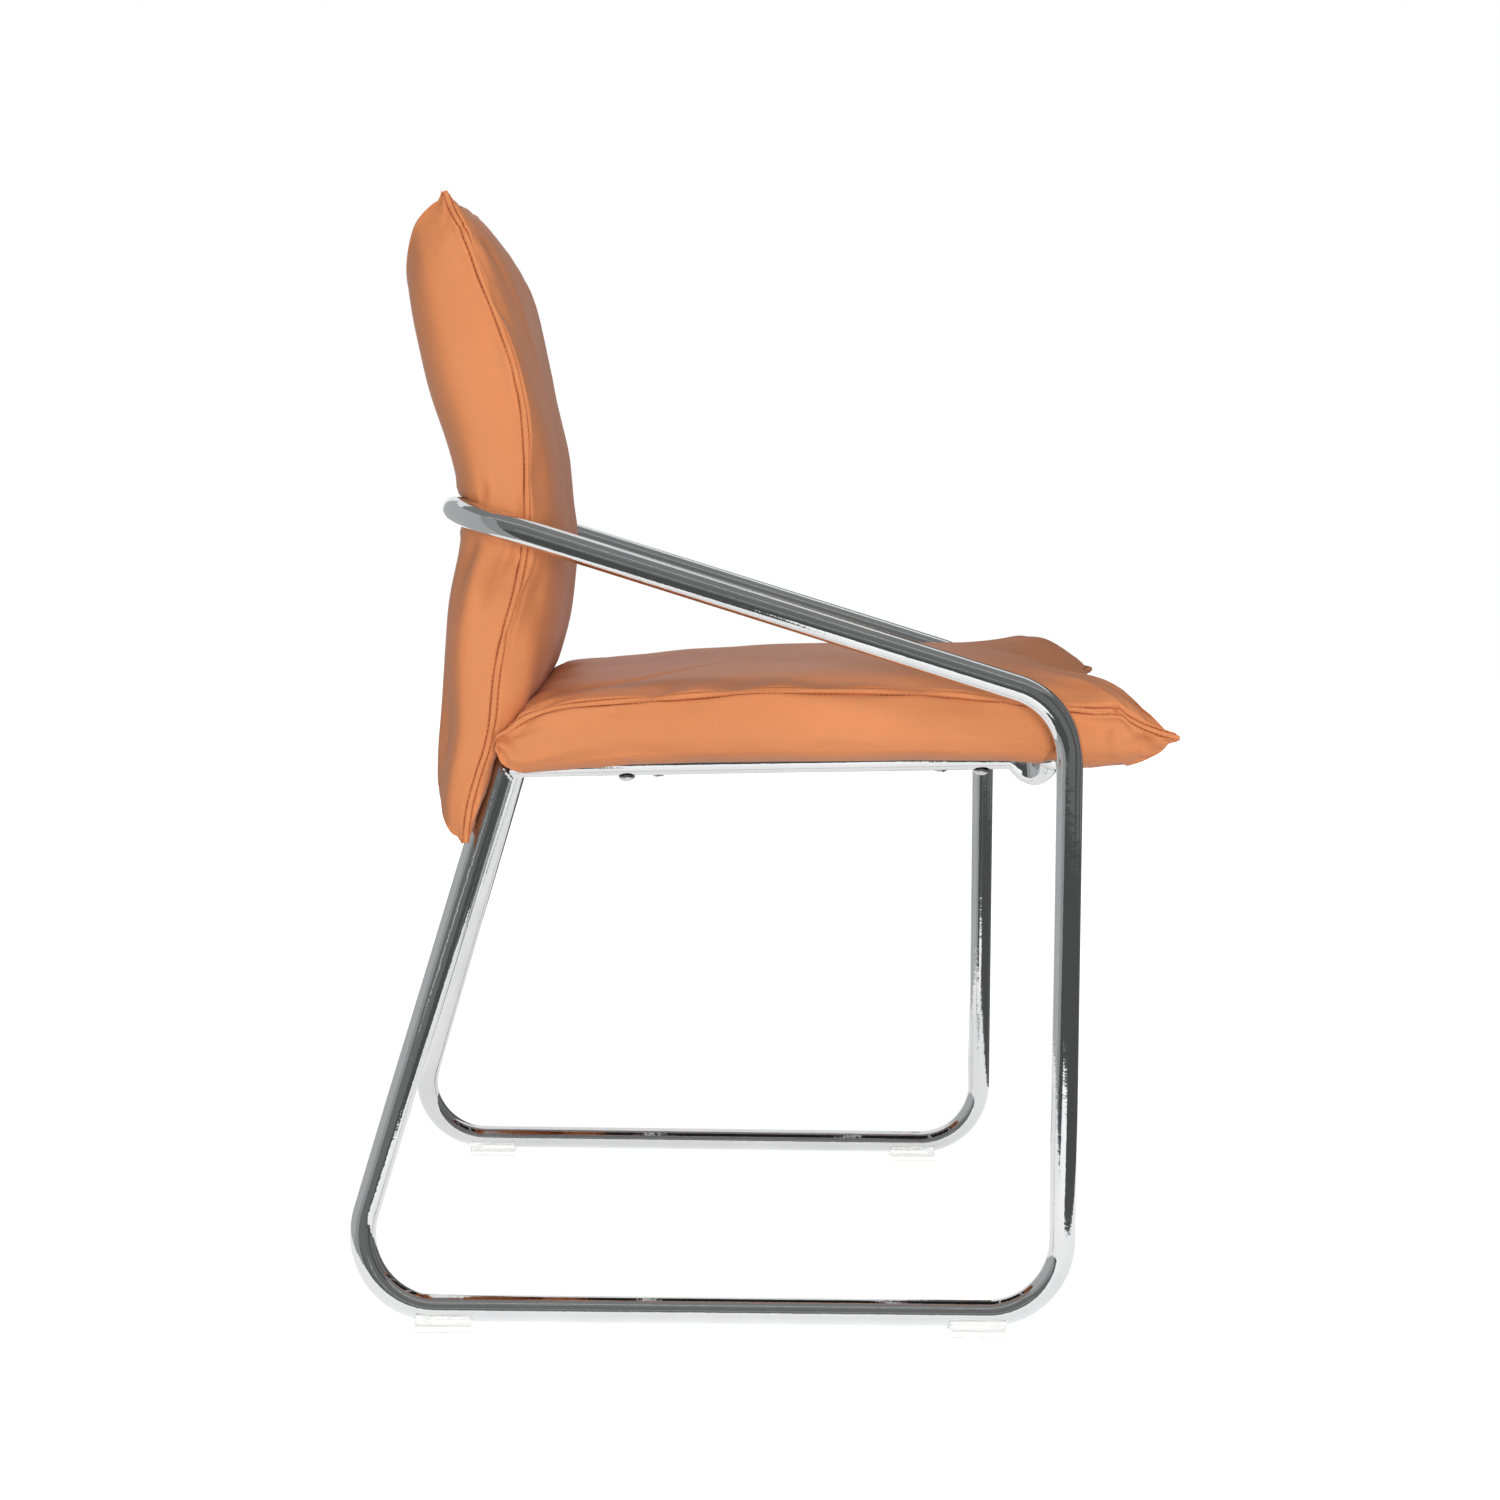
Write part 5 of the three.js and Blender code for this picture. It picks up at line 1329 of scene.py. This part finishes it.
# %% Helpers that make the meshes
def new_piece(name, vertices, faces):
    mesh = bpy.data.meshes.new(name)
    mesh.from_pydata(vertices, [], faces)
    piece = bpy.data.objects.new(name, mesh)
    bpy.context.collection.objects.link(piece)
    return piece


def mesh_from_grid(name, grid, crease=None):
    """The closed skin of a cushion, with one point in the middle of each face."""
    rows, columns = grid.shape[:2]
    vertices = [tuple(p) for p in grid.reshape(-1, 3)]
    faces = [(r * columns + c, r * columns + (c + 1) % columns,
              (r + 1) * columns + (c + 1) % columns, (r + 1) * columns + c)
             for r in range(rows - 1) for c in range(columns)]
    for row, order in ((0, -1), (rows - 1, 1)):
        middle = len(vertices)
        vertices.append(tuple(grid[row].mean(axis=0)))
        faces += [((row * columns + c, row * columns + (c + 1) % columns)[::order] + (middle,))
                  for c in range(columns)]
    piece = new_piece(name, vertices, faces)
    piece.data.validate()
    # The crease layer carries the shade painted into the grooves and the folds
    if crease is not None:
        layer = piece.data.attributes.new("crease", "FLOAT", "POINT")
        layer.data.foreach_set("value", np.append(crease.ravel(), [0, 0]).astype(np.float32))
    pick(piece)
    edit_all()
    bpy.ops.mesh.normals_make_consistent(inside=False)
    to_object_mode()
    return piece


# %% Routes of the tubes that press into the back
PRESS_ROOM = TUBE_RADIUS + 0.0006
ARC_STEPS, STRAIGHT_STEPS, POST_STEPS = 24, 40, 60
# The groove of a post, below its top. Above the groove the post is inside the cushion.
GROOVE_TOP, GROOVE_FOOT = 0.028, 0.16


def loop_route():
    """Points along the bend of each arm and the loop, each with the direction into the cushion."""
    points, inward = [], []
    for side in (-1, 1):
        corners = tube_corners(side)
        start, centre, axis, angle = bend_of(corners[3], corners[4], corners[5], TUBE_BEND)
        arc = [centre + Matrix.Rotation(angle * i / ARC_STEPS, 3, axis) @ (start - centre)
               for i in range(ARC_STEPS + 1)]
        arc_in = [(centre - p).normalized() for p in arc]
        straight = [arc[-1].lerp(corners[5], i / STRAIGHT_STEPS)
                    for i in range(1, STRAIGHT_STEPS + 1)]
        half = arc + straight
        half_in = arc_in + [arc_in[-1]] * len(straight)
        if side == 1:
            half, half_in = half[::-1], half_in[::-1]
        points += half
        inward += half_in
    return np.array(points), np.array(inward)


def post_route(side):
    """Points up a post, each with the direction into the cushion behind it."""
    top = post_point(side, POST_HEIGHT - GROOVE_TOP)
    foot = post_point(side, POST_HEIGHT - GROOVE_FOOT)
    along = (top - foot).normalized()
    rearward = Vector((0, along.z, -along.y)).normalized()
    points = [foot.lerp(top, i / POST_STEPS) for i in range(POST_STEPS + 1)]
    return np.array(points), np.array([rearward] * len(points))


print("loop route has", len(loop_route()[0]), "points")

# %% [markdown]
# ## The seat cushion
# The seat is plump in the middle and thins towards a pointed ear at each corner. On the real one the
# far front ear stands a little higher than the near one, and the leather is gathered beside the
# ears. The folds are placed from the photograph, as lines seen from the side.

# %% The seat cushion
SEAT_COLUMNS = 150
SEAT_CLOSING = 1 + np.array([0.03, 0.08, 0.2, 0.35, 0.5, 0.65, 0.8, 0.92, 1.0, 1.2, 1.4])
SEAT_SIDE_FOLDS = [
    ([(-0.2596, 0.4790), (-0.2598, 0.4620)], 0.0020, 0.0030),
    ([(-0.2560, 0.4610), (-0.2567, 0.4360)], 0.0055, 0.0016),
    ([(-0.2830, 0.4580), (-0.2785, 0.4395)], 0.0040, 0.0020),
    ([(-0.2900, 0.4540), (-0.2760, 0.4520), (-0.2650, 0.4440)], 0.0030, 0.0010),
    ([(0.1990, 0.4450), (0.1940, 0.4400), (0.1889, 0.4313)], 0.0026, 0.0030),
    ([(0.2060, 0.4380), (0.1990, 0.4340), (0.1960, 0.4250)], 0.0022, 0.0026),
    ([(0.2040, 0.4430), (0.1850, 0.4480), (0.1650, 0.4540)], 0.0036, 0.0012),
]
SEAT_CROWN_FOLDS = [
    ([(0.228, -0.290), (0.190, -0.235)], 0.006, 0.0016),
    ([(0.224, -0.262), (0.196, -0.190)], 0.006, 0.0010),
    ([(0.200, -0.286), (0.140, -0.240)], 0.007, 0.0013),
    ([(0.226, 0.165), (0.206, 0.130)], 0.006, 0.0008),
    ([(0.205, 0.168), (0.170, 0.150)], 0.007, 0.0007),
]
# Folds on the side lie outside this x, and reach this many rings over the seam onto the crown
FOLDED_X, FOLDED_RINGS = 0.205, 16
FAR_FRONT_TIP, FAR_FRONT_LIFT, FAR_FRONT_REACH = (0.238, -0.3098, 0.447), (0, -0.014, 0.022), 0.17
LEG_SIDE = (0.2, 0.212)
TOUCH_REACH, TOUCH_Y, TOUCH_Z = 0.014, (0.09, 0.155), (0.446, 0.466)
# The crown behind the front ears is filled round this x and y, each with a half width
FRONT_FILL, FILL_X, FILL_Y, FILL_RINGS = 0.0065, (0.19, 0.06), (-0.262, 0.028), (2, 10)


def mirrored(folds, seed):
    """Each fold on both sides, a little different on the far side."""
    rng = np.random.default_rng(seed)
    far = [([(p[0] + dx, p[1] + dy) for p in line], width * k, depth * k)
           for (line, width, depth), (dx, dy), k in
           zip(folds, rng.normal(0, 0.003, (len(folds), 2)), rng.uniform(0.7, 1.1, len(folds)))]
    return {-1: folds, 1: far}


def add_all_folds(grid, seam_row, side_folds, crown_folds, crown_axes, seed):
    normals = normals_of(grid)
    row_number = np.arange(len(grid))[:, None] + np.zeros(grid.shape[1], int)
    total = np.zeros(grid.shape[:2])
    for side, folds in mirrored(side_folds, seed).items():
        mask = (grid[..., 0] * side > FOLDED_X) & (row_number > seam_row - FOLDED_RINGS)
        grid, painted_shade = fold_skin(grid, normals, folds, [1, 2], mask)
        total = np.maximum(total, painted_shade)
    for side, folds in mirrored(crown_folds, seed + 1).items():
        placed = [([(p[0] * side, p[1]) for p in line], w, d) for line, w, d in folds]
        mask = (grid[..., 0] * side > 0.02) & (row_number < seam_row - 3)
        grid, painted_shade = fold_skin(grid, normals, placed, crown_axes, mask)
        total = np.maximum(total, painted_shade)
    return grid, total


def lift_ear(grid, tip, lift, reach):
    """Moves the skin round an ear's tip, less and less with the distance from it."""
    away = np.linalg.norm((grid - np.array(tip)) * np.array([1, 1, 0.5]), axis=2)
    return grid + np.array(lift) * smooth_step(away, reach, 0)[..., None]


def pass_the_legs(grid, shift, along_y=None, around_z=None):
    """Moves the skin outside the rear legs, where the soft corners reach past them."""
    outside = smooth_step(np.abs(grid[..., 0]), *LEG_SIDE)
    if along_y:
        outside *= smooth_step(grid[..., 1], *along_y)
    if around_z:
        outside *= hump(grid[..., 2], *around_z)
    return grid + np.array(shift) * outside[..., None]


def touch_the_back(grid):
    """Lets the upper rear edge bulge until it rests against the back."""
    rear = smooth_step(grid[..., 1], *TOUCH_Y)
    upper = smooth_step(grid[..., 2], *TOUCH_Z)
    return grid + np.array([0, 1, 0]) * (TOUCH_REACH * rear * upper)[..., None]


def fill_front_corners(grid, seam_row):
    """Fills the crown behind each front ear, so that it falls in a full curve to the tip."""
    beside = hump(np.abs(grid[..., 0]), *FILL_X)
    along = hump(grid[..., 1], *FILL_Y)
    upper = smooth_step(seam_row - np.arange(len(grid)), *FILL_RINGS)[:, None]
    return grid + np.array([0, 0, 1]) * (FRONT_FILL * beside * along * upper)[..., None]


def make_seat():
    points = outline(SEAT_COLUMNS, SEAT_COLUMNS)
    grid, seam_row = lofted(SEAT, points, SEAT_CLOSING)
    # The leather is stapled under the board, so the rings there are held
    pinned = set(range(len(grid) - len(SEAT_CLOSING) + 4, len(grid)))
    grid = grid + slack_of("seat", grid, seam_row, pinned)
    grid = lift_ear(grid, FAR_FRONT_TIP, FAR_FRONT_LIFT, FAR_FRONT_REACH)
    grid = pass_the_legs(grid, (0, 0.009, 0), along_y=(0.11, 0.18))
    grid = touch_the_back(grid)
    grid = fill_front_corners(grid, seam_row)
    grid, painted_shade = add_all_folds(grid, seam_row, SEAT_SIDE_FOLDS, SEAT_CROWN_FOLDS, [0, 1], 11)
    grid, crease = sew_seam(SEAT, grid, points, seam_row, 21)
    piece = mesh_from_grid("seat_cushion", grid, np.maximum(crease, painted_shade))
    return piece, grid, seam_row


seat, seat_skin, seat_seam = make_seat()
finish_piece(seat, ORANGE_LEATHER, "orange_leather", "seat_cover_top", "seat_cover_side", "seat_foam",
             smooth=70)
print("seat cushion", len(seat.data.polygons), "faces")

# %% [markdown]
# ## The back cushion
# The loop of the tube goes round the back cushion at its waist and pinches it, so folds run out
# from under the tube. Its lower end goes down behind the seat, and the two posts run up in front of
# its lower corners and press grooves into them.

# %% The back cushion
BACK_SIDE_COLUMNS, BACK_END_COLUMNS = 170, 140
BACK_CLOSING = 1 + np.concatenate([[0.008, 0.02, 0.035, 0.05], np.linspace(0.08, 0.97, 30)])
BACK_SIDE_FOLDS = [
    ([(0.2176, 0.6185), (0.2155, 0.6272), (0.2193, 0.6374)], 0.0026, 0.0041),
    ([(0.2205, 0.6170), (0.2243, 0.6280)], 0.0026, 0.0030),
    ([(0.1873, 0.6060), (0.1912, 0.6310)], 0.0020, 0.0024),
    ([(0.1989, 0.5890), (0.2119, 0.5610), (0.2180, 0.5350)], 0.0044, 0.0035),
    ([(0.1937, 0.5870), (0.2038, 0.5630)], 0.0030, 0.0032),
    ([(0.1730, 0.5860), (0.1772, 0.5668), (0.1895, 0.5481)], 0.0026, 0.0046),
    ([(0.2203, 0.5980), (0.2326, 0.5640), (0.2400, 0.5250)], 0.0046, 0.0034),
    ([(0.1600, 0.5800), (0.1720, 0.5400), (0.1800, 0.4964)], 0.0060, 0.0030),
    ([(0.1840, 0.5560), (0.2022, 0.4885)], 0.0070, 0.0024),
    ([(0.2037, 0.4250), (0.2175, 0.3985)], 0.0040, 0.0030),
    ([(0.2328, 0.8215), (0.2322, 0.8130)], 0.0022, 0.0030),
    ([(0.2410, 0.8330), (0.2500, 0.8050)], 0.0050, 0.0016),
]
BACK_CROWN_FOLDS = [
    ([(0.222, 0.818), (0.180, 0.770)], 0.007, 0.0007),
    ([(0.200, 0.825), (0.140, 0.790)], 0.008, 0.0006),
    ([(0.225, 0.400), (0.190, 0.450)], 0.006, 0.0014),
    ([(0.205, 0.393), (0.150, 0.430)], 0.007, 0.0010),
    ([(0.222, 0.600), (0.150, 0.590)], 0.009, 0.0012),
]
# The upper edge: how far its rear rolls down, how far its middle arches up, and from how far below
# the back's top each begins and is full
TOP_ROUNDING, ROUNDING_FROM, ROUNDING_FULL = 0.022, 0.085, 0.015
TOP_ARCH, ARCH_FROM, ARCH_FULL = 0.013, 0.11, 0.02
# How far forward the lower corners reach, as height and place, where the posts press them flat
POST_FLAT = [(0.3707, 0.2236), (0.3813, 0.2215), (0.401, 0.2150), (0.4199, 0.2103), (0.4373, 0.2046),
             (0.46, 0.196)]
POST_FLAT_X, POST_FLAT_Z, POST_FLAT_SHARE = (0.07, 0.165), (0.42, 0.485), 0.94
SOFT_START, SOFT_RINGS, SOFT_ROUNDS = 3, 8, 30
UPPER_TIP, UPPER_LIFT, UPPER_REACH = (0.238, 0.247, 0.843), (0, -0.008, 0.002), 0.14


def round_the_top(grid):
    """Lets the upper edge roll over to the rear instead of ending in a sharp corner."""
    local = (grid.reshape(-1, 3) - BACK["place"]) @ BACK["turn"]
    share = (local[:, 1] - BACK["low"]) / (BACK["high"] - BACK["low"])
    welt, floor_height = BACK["welt"](share), BACK["floor"](share)
    depth = np.clip((welt - local[:, 2]) / np.maximum(welt - floor_height, 1e-6), 0, 1)
    high = smooth_step(local[:, 1], BACK["high"] - ROUNDING_FROM, BACK["high"] - ROUNDING_FULL)
    local[:, 1] -= TOP_ROUNDING * high * depth ** 4
    arch = 1 - np.clip(np.abs(local[:, 0]) / BACK["half_width"], 0, 1) ** 2.5
    top = smooth_step(local[:, 1], BACK["high"] - ARCH_FROM, BACK["high"] - ARCH_FULL)
    arch *= top * (1 - depth)
    local[:, 1] += TOP_ARCH * arch
    local[:, 2] += TOP_ARCH / 4 * arch
    return (local @ BACK["turn"].T + BACK["place"]).reshape(grid.shape)


def soften(grid, first_row):
    """Evens out the rows from first_row on, so that padded edges are round and not folded."""
    weight = smooth_step(np.arange(len(grid)), first_row, first_row + SOFT_RINGS)[:, None, None] / 2
    weight[-1] = 0
    for _ in range(SOFT_ROUNDS):
        beside = np.roll(grid, 1, axis=1) + np.roll(grid, -1, axis=1)
        above = np.concatenate([grid[1:], grid[-1:]])
        below = np.concatenate([grid[:1], grid[:-1]])
        grid = grid + weight * ((beside + above + below) / 4 - grid)
    return grid


def flatten_beside_posts(grid):
    """Holds the lower corners back, so that the posts run in front of them."""
    line = np.interp(grid[..., 2], *np.array(POST_FLAT).T)
    outside = smooth_step(np.abs(grid[..., 0]), *POST_FLAT_X)
    low = 1 - smooth_step(grid[..., 2], *POST_FLAT_Z)
    over = np.maximum(line - grid[..., 1], 0)
    flat = grid.copy()
    flat[..., 1] += POST_FLAT_SHARE * over * outside * low
    return flat


def make_back():
    points = outline(BACK_SIDE_COLUMNS, BACK_END_COLUMNS)
    grid, seam_row = lofted(BACK, points, BACK_CLOSING)
    grid = grid + slack_of("back", grid, seam_row, set())
    grid = round_the_top(grid)
    grid = soften(grid, seam_row + len(NEAR_SEAM) + SOFT_START)
    grid = lift_ear(grid, UPPER_TIP, UPPER_LIFT, UPPER_REACH)
    grid = pass_the_legs(grid, (0, -0.007, 0), around_z=(0.445, 0.04))
    grid = press_in(grid, *loop_route(), PRESS_ROOM)
    for side in (-1, 1):
        grid = press_in(grid, *post_route(side), PRESS_ROOM)
    grid = flatten_beside_posts(grid)
    grid, painted_shade = add_all_folds(grid, seam_row, BACK_SIDE_FOLDS, BACK_CROWN_FOLDS, [0, 2], 31)
    grid, crease = sew_seam(BACK, grid, points, seam_row, 41)
    piece = mesh_from_grid("back_cushion", grid, np.maximum(crease, painted_shade))
    return piece, grid, seam_row


back, back_skin, back_seam = make_back()
finish_piece(back, ORANGE_LEATHER, "orange_leather", "back_cover_front", "back_cover_rear",
             "back_foam", smooth=70)
print("back cushion", len(back.data.polygons), "faces")

# %% [markdown]
# ## Stitches
# Beside each seam runs a row of small stitches, sunk in its groove. One stitch is modelled and then
# repeated along the grooves at the pitch of a real upholstery machine, about four millimetres. All
# the stitches of a cushion are one piece, because single objects for each would be slow to handle.

# %% The stitches
STITCH_LENGTH, STITCH_RADIUS, STITCH_PITCH = 0.0031, 0.00032, 0.0042
STITCH_TAPER, STITCH_DIVE, STITCH_RISE = 0.35, 0.00035, 0.00012
# The ring that runs in the groove, counted from the seam
GROOVE_RING = 6


def model_stitch():
    """A short thread along X, thicker in the middle than where it dives into the leather."""
    deselect()
    bpy.ops.mesh.primitive_cylinder_add(vertices=6, radius=STITCH_RADIUS, depth=STITCH_LENGTH,
                                        rotation=(0, math.pi / 2, 0))
    stitch = bpy.context.object
    bpy.ops.object.transform_apply(location=True, rotation=True, scale=True)
    edit_all()
    bpy.ops.mesh.bisect(plane_co=(0, 0, 0), plane_no=(1, 0, 0))
    to_object_mode()
    for vertex in stitch.data.vertices:
        share = abs(vertex.co.x) / (STITCH_LENGTH / 2)
        vertex.co.y *= 1 - STITCH_TAPER * share
        vertex.co.z = vertex.co.z * (1 - STITCH_TAPER * share) - STITCH_DIVE * share ** 2
    points = np.array([tuple(v.co) for v in stitch.data.vertices])
    faces = [tuple(face.vertices) for face in stitch.data.polygons]
    bpy.data.objects.remove(stitch)
    return points, faces


def stitch_frames(grid, normals, row):
    """Places and directions of the stitches along one ring of the skin."""
    ring_points = np.vstack([grid[row], grid[row, :1]])
    ring_normals = np.vstack([normals[row], normals[row, :1]])
    travelled = np.append(0, np.cumsum(np.linalg.norm(np.diff(ring_points, axis=0), axis=1)))
    count = int(travelled[-1] / STITCH_PITCH)
    places = (np.arange(count) + 0.5) * travelled[-1] / count

    def read(at_places, values):
        return np.stack([np.interp(at_places, travelled, values[:, k]) for k in range(3)], axis=1)

    middle = read(places, ring_points)
    along = read(places + 0.0015, ring_points) - read(places - 0.0015, ring_points)
    along /= np.linalg.norm(along, axis=1, keepdims=True)
    up = read(places, ring_normals)
    up -= along * np.sum(up * along, axis=1, keepdims=True)
    up /= np.linalg.norm(up, axis=1, keepdims=True)
    return middle, along, np.cross(up, along), up


def sew(name, grid, seam_row):
    """All the stitches of a cushion, in the groove on each side of its seam."""
    points, faces = STITCH
    normals = normals_of(grid)
    vertices, all_faces = [], []
    for row in (seam_row - 1 - GROOVE_RING, seam_row + 1 + GROOVE_RING):
        for middle, along, across, up in zip(*stitch_frames(grid, normals, row)):
            turn = np.stack([along, across, up], axis=1)
            start = len(vertices)
            vertices += [tuple(p) for p in points @ turn.T + middle + up * STITCH_RISE]
            all_faces += [tuple(start + i for i in face) for face in faces]
    finish_piece(new_piece(name, vertices, all_faces), THREAD, "orange_leather", smooth=60)
    print(name, len(all_faces) // len(faces), "stitches")


STITCH = model_stitch()
sew("seat_stitches", seat_skin, seat_seam)
sew("back_stitches", back_skin, back_seam)

# %% [markdown]
# ## Finishes of the CAD nodes
# The nodes that stay, such as the boards, nuts and spacers inside the cushions, keep their shape
# and get the matching finish.

# %% Finishes of the CAD nodes
NODE_FINISHES = {
    "tee_nut": ZINC, "spacer": ZINC, "screw": ZINC, "sleeve": ZINC, "glide": CLEAR_PLASTIC,
    "plug": BLACK_PLASTIC, "cloth": BLACK_CLOTH, "board": PLYWOOD, "foam": FOAM,
    "cover": ORANGE_LEATHER, "tube": CHROME, "rail": CHROME,
}
for name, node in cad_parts.items():
    finish = next(paint for word, paint in NODE_FINISHES.items() if word in name)
    for slot in node.material_slots:
        slot.material = finish
print(len(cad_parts), "nodes finished")
